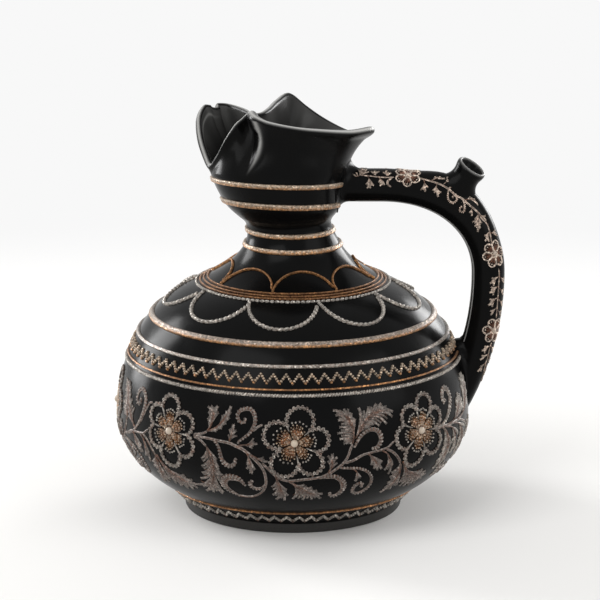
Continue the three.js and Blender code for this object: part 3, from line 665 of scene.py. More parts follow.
def node_material(name, add_nodes, *colours):
    """Material of that name. At its first use a function adds its nodes and gives the shader."""
    material = bpy.data.materials.get(name)
    if material is None:
        material = bpy.data.materials.new(name)
        material.use_nodes = True
        tree = material.node_tree
        tree.nodes.clear()
        shader = add_nodes(tree, *colours)
        add_node(tree, "ShaderNodeOutputMaterial", {"Surface": shader.outputs[0]})
    return material


def black_glaze(tree):
    """Near-black glossy glaze on stoneware: deep, with soft broad highlights and faint ripples."""
    where = add_node(tree, "ShaderNodeTexCoord").outputs["Object"]
    # The glaze pools in patches about 20 mm wide, which changes how sharp its shine is
    pools = add_node(tree, "ShaderNodeTexNoise", {
        "Vector": where, "Scale": 1 / 0.020, "Detail": 3.0, "Roughness": 0.55})
    roughness = add_node(tree, "ShaderNodeMapRange", {
        "Value": pools.outputs["Fac"], "From Min": 0.3, "From Max": 0.7,
        "To Min": 0.15, "To Max": 0.27})
    # Ripples 1.5 mm apart stand for the orange peel of a fired glaze, drawn coarser than it is
    ripples = add_node(tree, "ShaderNodeTexNoise", {
        "Vector": where, "Scale": 1 / 0.0015, "Detail": 2.0})
    bump = add_node(tree, "ShaderNodeBump", {
        "Height": ripples.outputs["Fac"], "Strength": 0.05, "Distance": 0.0002})
    warm = add_node(tree, "ShaderNodeMix", {
        0: pools.outputs["Fac"], 6: paint("glaze"), 7: (*linear("0b0a09"), 1)},
        data_type="RGBA")
    # The tone attribute pales the glaze. On sharp edges the glaze runs thin in the firing and the
    # pale clay shows through, and the same pale colour is also painted highlight on the rims, the
    # spout's lip, the handle's edge lines and the ridge of the mouth's fold, and painted reflection
    # inside the cup
    thin = add_node(tree, "ShaderNodeAttribute", attribute_name="tone")
    thinned_and_highlit = add_node(tree, "ShaderNodeMix", {
        0: thin.outputs["Fac"], 6: warm.outputs[2], 7: paint("thin_glaze_and_highlight")}, data_type="RGBA")
    # The specular level is low so that the glaze stays as deep a black as it looks
    return add_node(tree, "ShaderNodeBsdfPrincipled", {
        "Base Color": thinned_and_highlit.outputs[2], "Roughness": roughness.outputs["Result"],
        "IOR": 1.5, "Specular IOR Level": 0.055, "Normal": bump.outputs["Normal"]})


def bare_clay(tree):
    """Unglazed dark stoneware of the foot: dry, slightly gritty."""
    where = add_node(tree, "ShaderNodeTexCoord").outputs["Object"]
    # Grit of about 0.8 mm
    grit = add_node(tree, "ShaderNodeTexNoise", {
        "Vector": where, "Scale": 1 / 0.0008, "Detail": 3.0})
    tint = add_node(tree, "ShaderNodeMix", {
        0: grit.outputs["Fac"], 6: paint("clay"), 7: (*linear("302e2b"), 1)},
        data_type="RGBA")
    bump = add_node(tree, "ShaderNodeBump", {
        "Height": grit.outputs["Fac"], "Strength": 0.4, "Distance": 0.0004})
    return add_node(tree, "ShaderNodeBsdfPrincipled", {
        "Base Color": tint.outputs[2], "Roughness": 0.82, "Normal": bump.outputs["Normal"]})


def mica_enamel(tree, light, dark):
    """Raised enamel with mica flakes: light and dark grains, of which one in eight glints with a
    painted glint that brightens its colour.

    The tone attribute of a mesh blends from the light colour, 0, to the dark one, 1. Gold is the
    most metallic enamel.
    """
    where = add_node(tree, "ShaderNodeTexCoord").outputs["Object"]
    metallic = 0.6 if light == "gold" else 0.4
    roughness = 0.42
    # Flakes are 0.1 to 0.2 mm in real enamel, and are drawn coarser so that they show
    grain = 0.0009
    flakes = add_node(tree, "ShaderNodeTexVoronoi", {"Vector": where, "Scale": 1 / grain})
    chance = add_node(tree, "ShaderNodeSeparateColor", {"Color": flakes.outputs["Color"]})
    tone = add_node(tree, "ShaderNodeAttribute", attribute_name="tone")
    scatter = add_node(tree, "ShaderNodeMapRange", {
        "Value": chance.outputs["Blue"], "To Min": -0.35, "To Max": 0.35})
    mixed = add_node(tree, "ShaderNodeMath", {
        0: tone.outputs["Fac"], 1: scatter.outputs["Result"]}, operation="ADD", use_clamp=True)
    blend = add_node(tree, "ShaderNodeMix", {
        0: mixed.outputs[0], 6: paint(light), 7: paint(dark)}, data_type="RGBA")
    level = add_node(tree, "ShaderNodeMapRange", {
        "Value": chance.outputs["Red"], "To Min": 0.35, "To Max": 1.2})
    # Painted glint: one grain in eight has its colour made brighter, on top of the grains' own
    # random brightness
    painted_glint = add_node(tree, "ShaderNodeMath", {
        0: chance.outputs["Green"], 1: 0.875}, operation="GREATER_THAN")
    grain_level_and_painted_glint = add_node(tree, "ShaderNodeMath", {
        0: painted_glint.outputs[0], 1: 0.9, 2: level.outputs["Result"]}, operation="MULTIPLY_ADD")
    grain_colour_and_painted_glint = add_node(tree, "ShaderNodeVectorMath", {
        0: blend.outputs[2], "Scale": grain_level_and_painted_glint.outputs[0]}, operation="SCALE")
    gloss = add_node(tree, "ShaderNodeMapRange", {
        "Value": chance.outputs["Green"], "To Min": roughness + 0.14, "To Max": roughness - 0.14})
    bump = add_node(tree, "ShaderNodeBump", {
        "Height": flakes.outputs["Distance"], "Strength": 0.5, "Distance": grain * 0.35})
    return add_node(tree, "ShaderNodeBsdfPrincipled", {
        "Base Color": grain_colour_and_painted_glint.outputs["Vector"], "Metallic": metallic,
        "Roughness": gloss.outputs["Result"], "Normal": bump.outputs["Normal"]})


def pearl_enamel(tree):
    """Satin pearl enamel: smooth, with a soft wide highlight."""
    where = add_node(tree, "ShaderNodeTexCoord").outputs["Object"]
    # Clouds about 2 mm wide
    cloud = add_node(tree, "ShaderNodeTexNoise", {"Vector": where, "Scale": 1 / 0.002})
    tint = add_node(tree, "ShaderNodeMix", {
        0: cloud.outputs["Fac"], 6: paint("pearl"), 7: paint("champagne")}, data_type="RGBA")
    return add_node(tree, "ShaderNodeBsdfPrincipled", {
        "Base Color": tint.outputs[2], "Roughness": 0.3, "Coat Weight": 0.4,
        "Coat Roughness": 0.15})


# Slot and material of each finish, the function that adds its nodes, and its colours. Champagne
# is on the narrow bands, the upper zigzag and the bead points, silver on the cords and petals,
# gold on the lines and stamens, rose on the wide shoulder band, cream on the handle's garland, and
# mauve on the leaves.
FINISHES = {
    "clay": ("clay", "unglazed_dark_clay", bare_clay),
    "glaze": ("glaze", "black_glazed_stoneware", black_glaze),
    "champagne": ("champagne", "champagne_mica_enamel", mica_enamel, "champagne", "gold"),
    "rose": ("champagne", "rose_mica_enamel", mica_enamel, "rose", "gold"),
    "cream": ("champagne", "cream_mica_enamel", mica_enamel, "cream", "copper"),
    "silver": ("silver", "silver_mica_enamel", mica_enamel, "silver", "copper"),
    "mauve": ("silver", "mauve_mica_enamel", mica_enamel, "mauve", "copper"),
    "gold": ("gold", "gold_mica_enamel", mica_enamel, "gold", "copper"),
    "pearl": ("pearl", "satin_pearl_enamel", pearl_enamel),
}


class JugOperator(bpy.types.Operator):
    """Shared settings of the jug's operators."""

    bl_options = {"REGISTER", "UNDO"}


def lathe_piece(name, section, finish, shape):
    """Makes a turned piece from its closed section."""
    faces = [grid_faces(len(section), TURN_STEPS, closed_rows=True)]
    make_piece(name, turned(shape, section), faces, finish, (name,))


def wall_rows(shape, low, high, depth=0.0, gap=2.6):
    """Rows of the wall between two heights, at a depth in it.

    A close row at each end makes the shading run on over the seams.
    """
    first, last = shape.run_at_height(low), shape.run_at_height(high)
    runs = np.linspace(first, last, max(int((last - first) / gap), 3))
    runs = np.concatenate([[first, first + 0.25], runs[1:-1], [last - 0.25, last]])
    return np.stack(shape.profile(runs, -depth), axis=1)


class JUG_OT_foot(JugOperator):
    """Makes the flat unglazed foot with a shallow hollow underneath"""

    bl_idname = "jug.foot"
    bl_label = "Foot"

    def execute(self, context):
        radius, top = mm("foot_radius"), mm("foot_height")
        # The hollow underneath is 1.5 mm deep, and a plug on top fills the hole in the belly
        middle, hollow, plug, plug_top = 0.01, 1.5, 57.7, 10
        section = [
            (middle, hollow), (radius - 13, hollow), (radius - 11, 0.4), (radius - 10, 0),
            (radius - 1.4, 0), (radius - 0.5, 0.35), (radius, 1.2), (radius, top), (plug, top),
            (plug, plug_top), (middle, plug_top),
        ]
        lathe_piece("foot_disc", section, "clay", JugShape())
        return {"FINISHED"}


class JUG_OT_belly(JugOperator):
    """Makes the two halves of the belly, which meet at the widest line, and the neck"""

    bl_idname = "jug.belly"
    bl_label = "Belly and neck"

    def execute(self, context):
        shape = JugShape()
        wall = mm("belly_wall")
        middle = mm("belly_radius") - wall / 2
        # The halves meet on a ledge with a little room, and the foot's plug fills the lower one
        ledge, room = 3, 0.15
        floor, hole = 10, 58
        lower = np.concatenate([
            wall_rows(shape, shape.foot_top, shape.heel_top, gap=3),
            wall_rows(shape, shape.heel_top, shape.widest)[2:],
            [(middle + room, shape.widest), (middle + room, shape.widest - ledge)],
            wall_rows(shape, floor, shape.widest - ledge, wall, 5)[::-1],
            [(hole, floor), (hole, shape.foot_top)],
        ])
        lathe_piece("lower_belly", lower, "glaze", shape)
        upper = np.concatenate([
            wall_rows(shape, shape.widest, shape.neck_seam),
            wall_rows(shape, shape.widest, shape.neck_seam, wall, 5)[::-1],
            [(middle - room, shape.widest - ledge + 2 * room), (middle - room, shape.widest)],
        ])
        lathe_piece("upper_belly", upper, "glaze", shape)
        neck = np.concatenate([
            wall_rows(shape, shape.neck_seam, shape.cup_seat, gap=1.5),
            wall_rows(shape, shape.neck_seam, shape.cup_seat, mm("neck_wall"), 3)[::-1],
        ])
        lathe_piece("neck", neck, "glaze", shape)
        return {"FINISHED"}


class JUG_OT_mouth(JugOperator):
    """Makes the pinched mouth cup with its rolled rim"""

    bl_idname = "jug.mouth"
    bl_label = "Mouth cup"

    def execute(self, context):
        shape = JugShape()
        knots = len(RIM_KNOTS)
        at = np.arange(knots * 8) / 8
        low_steps, side_steps = 12, 30
        outer = shape.cup_rings(at, low_steps, side_steps)
        normals = grid_normals(outer)
        share = np.clip((np.arange(len(outer)) - low_steps) / side_steps, 0, 1)[:, None]
        # Places round the rim, counted in knots: the lip over the handle is at 0
        from_lip = np.minimum(at, knots - at)
        knob_at, crest_at, lobe_at = 6.9, 5.5, 15
        # The rolled end of the rim lies over the top of the fold, and the lip is rolled thicker
        fold = mm("knob") * np.clip(1 - np.abs(at - knob_at) / 1.6, 0, 1) ** 0.8
        lip = 0.9 * np.clip(1 - from_lip / 2, 0, 1)
        roll = fold * smoothstep(share, 0.75, 0.88) + lip * smoothstep(share, 0.86, 0.97)
        inner = outer - normals * mm("cup_wall")
        outer = outer + normals * roll[..., None]
        edge = (mm("cup_wall") + roll[-1][:, None]) / 2
        up = unit(outer[-1] - outer[-2])
        turn = np.linspace(0, math.pi, 11)[1:-1, None, None]
        rim = outer[-1] + normals[-1] * edge * (np.cos(turn) - 1) + up * edge * np.sin(turn)
        # Inside the sharp fold the wall's own thickness rounds the corner
        for _ in range(6):
            inner = (np.roll(inner, 1, axis=1) + 2 * inner + np.roll(inner, -1, axis=1)) / 4
        rings = np.concatenate([outer, rim, inner[::-1]])
        tone = np.zeros(rings.shape[:2])
        # The rim's top is paled with the thin glaze colour: partly glaze that runs thin over the
        # edge, partly painted highlight, which is brighter towards the lip over the handle
        near_lip = np.clip(1 - from_lip / 7, 0, 1)
        tone[len(outer):len(outer) + len(rim)] = (
            (0.8 + 0.35 * near_lip) * np.sin(turn[:, :, 0]) ** 9)
        # Inside, painted reflection pales the glaze towards the rim in streaks, and a painted
        # highlight makes a paler line below the rim in the narrow lobe
        below = 0.3 * np.exp(-((share - 0.9) / 0.022) ** 2 - ((at - lobe_at) / 3.2) ** 4)
        painted_reflection_streaks = 0.5 + 0.5 * np.sin(at * 2.7) * np.sin(at * 1.1 + 0.5)
        inside = 0.02 + (0.04 + 0.06 * painted_reflection_streaks) * smoothstep(share, 0.2, 0.9) + below
        tone[len(outer) + len(rim):] = inside[::-1]
        # A painted highlight runs up the ridge of the fold to the rim as a pale line
        crest_highlight = np.exp(-((at - crest_at - 2.2 * (1 - share) ** 2.2) / 0.33) ** 2)
        tone[:len(outer)] = 0.4 * crest_highlight * smoothstep(share, 0.1, 0.4)
        faces = [grid_faces(len(rings), len(at), closed_rows=True)]
        make_piece("mouth_cup", rings.reshape(-1, 3), faces, "glaze",
                   ("mouth_cup",), tone=tone.ravel(), sharp=60)
        return {"FINISHED"}


def fillet(distance, reach):
    """Extra radius of a rod at a distance from the wall that it flows into."""
    share = np.clip(1 - distance / reach, 0, 1)
    return reach * (1 - np.sqrt(1 - share ** 2))


class JUG_OT_handle(JugOperator):
    """Makes the handle's tube, which flows into the cup and the belly, and its inner edge lines"""

    bl_idname = "jug.handle"
    bl_label = "Handle"

    def execute(self, context):
        shape = JugShape()
        radius = mm("handle_radius")
        # Reach of the fillets at both ends, and how deep the tube's ends are sunk in the walls
        reach, sunk = 7.0, 0.6
        angle = np.linspace(0, 2 * math.pi, TUBE_SIDES, endpoint=False)
        at = np.arange(len(RIM_KNOTS) * 6) / 6
        cup = shape.cup_rings(at, 8, 16)
        tree = BVHTree.FromPolygons(
            cup.reshape(-1, 3).tolist(), grid_faces(len(cup), len(at)).tolist())
        clear_of_cup = 30.0
        starts = []
        for place in shape.handle_point(clear_of_cup, angle, radius + reach * 0.8):
            hit = tree.ray_cast(Vector(place), Vector((-1, 0, 0)))[0]
            if hit is None:
                raise RuntimeError("The handle misses the cup")
            starts.append(hit.x - shape.cup_wall_x)
        starts = np.array(starts)
        ends = self.belly_runs(shape, angle, radius + reach * 0.8)
        # Close rings at both ends follow the walls, and level out on the way
        near = np.array([-sunk, 0, 0.35, 0.8, 1.4, 2.1, 3, 4, 5, 6.5, 8.5, 11, 14, 18])
        level = smoothstep(near, 2, 18)[:, None]
        first = starts * (1 - level) + starts.mean() * level + near[:, None]
        last = (ends * (1 - level) + ends.mean() * level - near[:, None])[::-1]
        between = np.arange(first[-1, 0] + 2.5, last[0, 0] - 1.2, 2.5)
        runs = np.concatenate([first, np.repeat(between[:, None], TUBE_SIDES, axis=1), last])
        wide = radius + fillet(runs - starts, reach) + fillet(ends - runs, reach * 0.8)
        points = shape.handle_point(runs, angle[None, :], wide)
        faces = [grid_faces(len(runs), TUBE_SIDES), end_faces(len(runs), TUBE_SIDES)]
        make_piece("handle_tube", points.reshape(-1, 3), faces, "glaze",
                   ("handle_tube",), sharp=60)
        lines = Relief(shape.handle_map())
        # The edge lines are paled with the thin glaze colour: glaze that runs thin over them, and
        # painted highlight
        for side in (1, -1):
            across = side * math.radians(152) * radius
            path = [(run, across) for run in np.arange(starts.mean() + 9, ends.mean() - 6, 3.0)]
            lines.ridge(path, 1.1, 0.4, 0.4, step=2.0)
        lines.build("handle_edge_lines", "glaze")
        return {"FINISHED"}

    def belly_runs(self, shape, angle, radius):
        """Run along the handle at which each of its side lines enters the belly."""
        drop = 130
        runs = np.linspace(shape.handle_runs[-1] - drop, shape.handle_runs[-1], 900)
        places = shape.handle_point(runs[:, None], angle[None, :], radius)
        out = np.hypot(places[..., 0], places[..., 1])
        wall = np.interp(places[..., 2], shape.outside[:, 1], shape.outside[:, 0])
        inside = out < wall
        if not inside.any(axis=0).all():
            raise RuntimeError("The handle misses the belly")
        return runs[np.argmax(inside, axis=0)]


class JUG_OT_spout(JugOperator):
    """Makes the small drinking spout that grows out of the handle's corner"""

    bl_idname = "jug.spout"
    bl_label = "Drinking spout"

    def execute(self, context):
        shape = JugShape()
        along_arm = 40.5
        root = shape.corner_point(np.array(math.asin(along_arm / shape.corner_length)))
        lean = math.radians(56)
        forward = np.array([math.cos(lean), 0, math.sin(lean)])
        up = np.array([-math.sin(lean), 0, math.cos(lean)])
        side = np.array([0, -1.0, 0])
        root = np.array([root[0], 0, root[1]])
        angle = np.linspace(0, 2 * math.pi, TUBE_SIDES, endpoint=False)
        waist, rim, bore = mm("spout_radius"), mm("spout_rim"), mm("spout_bore")
        total = mm("spout_length")
        # Half-sizes of the root on the handle, and heights of the flared end and its round lip
        across, along = 9.6, 13.4
        flare, lip_height = 7, 1.8

        def ring(height, half_across, half_along):
            """Ring round the spout's axis. Its upper rings turn a little towards the front."""
            dip = 0.2 * smoothstep(height, 14, total) * half_across * np.sin(angle)
            return (root + forward * np.reshape(height - dip, (-1, 1))
                    + up * (half_along * np.cos(angle))[:, None]
                    + side * (half_across * np.sin(angle))[:, None])

        base = self.tube_heights(shape, ring, across, along)
        narrowest = total - flare
        rings = []
        for share in np.linspace(0, 1, 16):
            height = base + (narrowest - base) * share
            spread = (1 - share) ** 2.3
            rings.append(ring(height, waist + (across - waist) * spread,
                              waist + (along - waist) * spread))
        for share in np.linspace(0, 1, 7)[1:]:
            radius = waist + (rim - waist) * smoothstep(share, 0, 1)
            rings.append(ring(narrowest + (flare - lip_height) * share, radius, radius))
        # The wall thins towards its rounded lip, inside which the hole opens like a funnel
        funnel = bore + 2.3
        lip = (rim - funnel) / 2
        # The top of the round lip is paled with the thin glaze colour: glaze that runs thin over
        # the edge, and painted highlight
        tones = [0.0] * len(rings)
        for turn in np.linspace(0, math.pi, 10)[1:]:
            radius = funnel + lip + lip * math.cos(turn)
            height = total - lip_height + lip_height * math.sin(turn)
            rings.append(ring(height, radius, radius))
            tones.append(0.5 * math.sin(turn) ** 3)
        for depth, radius in ((3.5, bore + 0.9), (6, bore + 0.2), (10, bore), (16, bore)):
            rings.append(ring(total - depth, radius, radius))
            tones.append(0.0)
        faces = [grid_faces(len(rings), TUBE_SIDES), end_faces(len(rings), TUBE_SIDES)]
        make_piece("drinking_spout", np.concatenate(rings), faces, "glaze",
                   ("drinking_spout",), tone=np.repeat(tones, TUBE_SIDES), sharp=60)
        return {"FINISHED"}

    def tube_heights(self, shape, ring, across, along):
        """Height on the spout's axis at which each side line enters the handle's tube."""
        lowest, sunk = -6, 0.6
        found = np.full(TUBE_SIDES, np.nan)
        stand = shape.gusset_stand(shape.handle_runs)
        line = shape.handle + shape.handle_out * stand[:, None] * 0.8
        for height in np.linspace(mm("spout_length"), lowest, 400):
            places = ring(height, across, along)
            flat = np.hypot(
                places[:, None, 0] - line[None, :, 0],
                places[:, None, 2] - line[None, :, 1]).min(axis=1)
            deep = np.hypot(flat, places[:, 1]) < mm("handle_radius") - sunk
            found = np.where(np.isnan(found) & deep, height, found)
        if np.isnan(found).any():
            raise RuntimeError("The spout misses the handle")
        return found


BAND_SECTION = np.array([
    (-0.5, -0.3), (-0.49, 0.45), (-0.43, 0.8), (-0.33, 0.97), (-0.17, 1), (0, 0.93), (0.17, 1),
    (0.33, 0.97), (0.43, 0.8), (0.49, 0.45), (0.5, -0.3)])


def band(shape, name, run, width, height, finish, gap=0.0, tones=(0.3, 0.3),
         blend=(-0.3, 0.3)):
    """Raised band round the wall, with a tone at its upper and at its lower edge.

    The tones blend between two places across its width, counted from its middle as shares. A gap
    is half the width that it leaves for the handle.
    """
    steps = 300
    radius = shape.radius_at_run(run)
    if gap:
        open_half = math.asin(gap / radius)
        angle = np.linspace(math.pi / 2 + open_half, 2.5 * math.pi - open_half, steps)
    else:
        angle = np.linspace(0, 2 * math.pi, steps, endpoint=False)
    points = shape.wall(
        angle[:, None], run + BAND_SECTION[None, :, 0] * width, BAND_SECTION[None, :, 1] * height)
    around = len(BAND_SECTION)
    faces = [grid_faces(steps, around, closed_rows=not gap)]
    if gap:
        faces.append(end_faces(steps, around))
    tone = np.interp(BAND_SECTION[:, 0], blend, (tones[1], tones[0]))
    make_piece(name, points.reshape(-1, 3), faces, finish, (name,), np.tile(tone, steps))


class JUG_OT_bands(JugOperator):
    """Makes the raised bands and lines round the cup, the neck, the shoulder and the heel"""

    bl_idname = "jug.bands"
    bl_label = "Bands and lines"

    def execute(self, context):
        shape = JugShape()
        height = mm("band_height")
        level = shape.run_at_height
        at_cup = mm("handle_radius") + 1
        for name, place, gap in (
            ("mouth_band_upper", shape.cup_band - 1.8, at_cup),
            ("mouth_band_lower", shape.cup_foot + 0.8, at_cup),
            ("neck_band_upper", shape.collar + 33, 0),
            ("neck_band_lower", shape.collar + 23.8, 0),
        ):
            band(shape, name, level(place), mm("narrow_band"), height, "champagne", gap,
                 tones=(0.05, 0.95))
        band(shape, "shoulder_band_wide", level(shape.widest + 63.6), mm("band_width"), height,
             "rose", tones=(-0.1, 1.0), blend=(-0.38, -0.05))
        band(shape, "shoulder_band_thin", level(shape.widest + 52.4), 2.2, height, "silver")
        at_foot = mm("handle_radius") - 1
        for name, place, width, gap in (
            ("gold_line", shape.widest + 39.9, 1.2, at_foot),
            ("lower_gold_line", shape.heel_top + 0.4, 1.4, 0),
        ):
            band(shape, name, level(place), width, 0.9, "gold", gap)
        return {"FINISHED"}


class JUG_OT_rope(JugOperator):
    """Makes the twisted cord round the shoulder and the rings of the collar"""

    bl_idname = "jug.rope"
    bl_label = "Rope band and collar"

    def execute(self, context):
        shape = JugShape()
        run = shape.run_at_height(shape.widest + 36.7)
        radius = shape.radius_at_run(run)
        rope = Relief(shape.belly_map(90, run, radius))
        gap = mm("handle_radius") - 1
        around = 2 * math.pi * radius
        # Slanting beads on a low ridge make the twist of the cord
        pitch = 1.75
        middles = np.arange(gap, around - gap, pitch)
        rope.ridge([(u, 0) for u in np.arange(gap, around - gap, 4.0)], 1.9, 0.8, 0.35, step=4.0)
        rope.stamp(DOME, np.stack([middles, 0 * middles], axis=1), math.radians(52),
                   (3.0, 1.55, 1.35))
        rope.build("rope_band", "silver", ("rope_band",))
        outermost = 3
        for ring in range(outermost + 1):
            radius = mm("collar_radius") - (outermost - ring) * mm("collar_pitch")
            run = shape.run_at_radius(radius)
            around = 2 * math.pi * radius
            name = f"collar_ring_{ring + 1}"
            if ring == outermost:
                beads = Relief(shape.belly_map(0, run, radius))
                pitch = 3.1
                count = int(around / pitch)
                middles = np.arange(count) * around / count
                beads.stamp(DOME, np.stack([middles, 0 * middles], axis=1), math.radians(8),
                            (3.2, 1.75, 1.3))
                beads.build(name, "silver", (name,))
            else:
                band(shape, name, run, width=1.2, height=1.0, finish="gold", tones=(0.0, 0.6))
        return {"FINISHED"}


class JUG_OT_zigzags(JugOperator):
    """Makes the two zigzag rows of enamel beads"""

    bl_idname = "jug.zigzags"
    bl_label = "Zigzags"

    def execute(self, context):
        shape = JugShape()
        upper = shape.run_at_height(shape.widest + 45.9)
        lower = shape.run_at_height(shape.heel_top - 4.6)
        self.row(shape, "zigzag_upper", upper, teeth=82, height=5.4, finish="champagne")
        self.row(shape, "zigzag_lower", lower, teeth=62, height=4.8, finish="silver")
        return {"FINISHED"}

    def row(self, shape, name, run, teeth, height, finish):
        """One zigzag row: pale beads on the limbs and darker ones in the valleys."""
        radius = shape.radius_at_run(run)
        beads = Relief(shape.belly_map(0, run, radius))
        pitch = 2 * math.pi * radius / teeth
        per_limb = 4
        count = teeth * 2 * per_limb
        step = np.arange(count) / per_limb
        swing = 1 - np.abs(step % 2 - 1)
        centres = np.stack([step * pitch / 2, (swing - 0.5) * height], axis=1)
        lean = np.where(step % 2 < 1, 1, -1) * math.atan2(height, pitch / 2)
        tone = smoothstep(0.34 - swing, 0, 0.3) * 0.85
        size = mm("bead_width")
        beads.stamp(DOME, centres, lean, (size * 0.84, size, 1.3), tone)
        beads.build(name, finish, (name,))


class JUG_OT_scallops(JugOperator):
    """Makes the arches of twisted cord above and below the collar"""

    bl_idname = "jug.scallops"
    bl_label = "Scallops"

    def execute(self, context):
        shape = JugShape()
        # Both rows stand off the collar's rings by half a ring and a little room
        stand = 0.85 + 0.3
        outer = mm("collar_radius")
        inner = outer - 3 * mm("collar_pitch")
        run = shape.run_at_radius(inner) + stand + 0.95
        for i in range(8):
            self.arch(shape, f"upper_scallop_{i + 1}", 8 + 45 * i, math.pi / 8 - 0.7 / inner,
                      run, rise=16.5, size=(2.2, 1.45, 1.4), pitch=1.3, finish="gold")
        run = shape.run_at_radius(outer) - stand - 1.15
        for i in range(9):
            # Laid by hand, so the two left of the front one stand a little nearer to it
            shift = 2.6 if i > 6 else 0.0
            self.arch(shape, f"lower_scallop_{i + 1}", -5.5 + 40 * i + shift,
                      math.pi / 9 - 0.6 / outer, run, rise=-21.3, size=(3.7, 2.1, 1.6),
                      pitch=2.5, finish="silver")
        return {"FINISHED"}

    def arch(self, shape, name, degrees, half, run, rise, size, pitch, finish):
        """One arch of cord from a run on the wall: half its angle, its rise and its beads."""
        start = shape.radius_at_run(run)
        turn = np.linspace(0, math.pi, 60)
        up = rise * np.sin(turn) ** 0.8
        radii = np.array([shape.radius_at_run(run + v) for v in up])
        angle = -half * np.minimum(start / radii, 1) * np.cos(turn)
        cord = Relief(shape.belly_map(degrees, run, start))
        path = resample(np.stack([angle * start, up], axis=1)[::3], pitch)
        rising = np.argsort(up[:30])
        stretch = np.interp(path[:, 1], up[rising], radii[rising]) / start
        along = directions(path * np.stack([stretch, np.ones(len(path))], axis=1))
        turns = np.arctan2(along[:, 1], along[:, 0]) + math.radians(26)
        cord.ridge(path, size[1] * 0.8, size[2] * 0.6, 0.6, step=1.5)
        cord.stamp(DOME, path, turns, size)
        cord.build(name, finish, (name,))


# Height of the frieze's middle line above the widest line
FRIEZE_RISE = 9.3

# The flowers: where each one's pearl sits and its petals, as place right of and above the middle
# and radius of the cord round them
FLOWERS = [
    ((1.3, -1.0), [(5.2, 14.2, 6.5), (14, 4.5, 6.2), (12, -10, 7.6), (-4.5, -14.8, 7.6),
                   (-11.7, -2.7, 7.4), (-7.5, 9, 6.6)]),
    ((-0.7, -0.2), [(2.8, 13, 8.3), (13, 1.6, 7), (9.2, -12.4, 7.2), (-6.6, -13, 8.2),
                    (-11, 4.5, 8.1)]),
    ((-0.4, -0.5), [(-0.8, 14.3, 7), (11, 5.8, 7), (11.8, -7.5, 6.9), (0.5, -15, 7.8),
                    (-10.2, -5, 7.4), (-11.3, 7.3, 6.6)]),
]


def flower_degrees(number):
    """Angle of a flower of the frieze from the front, towards the handle. They run leftwards."""
    return 44.2 - 43.3 * number


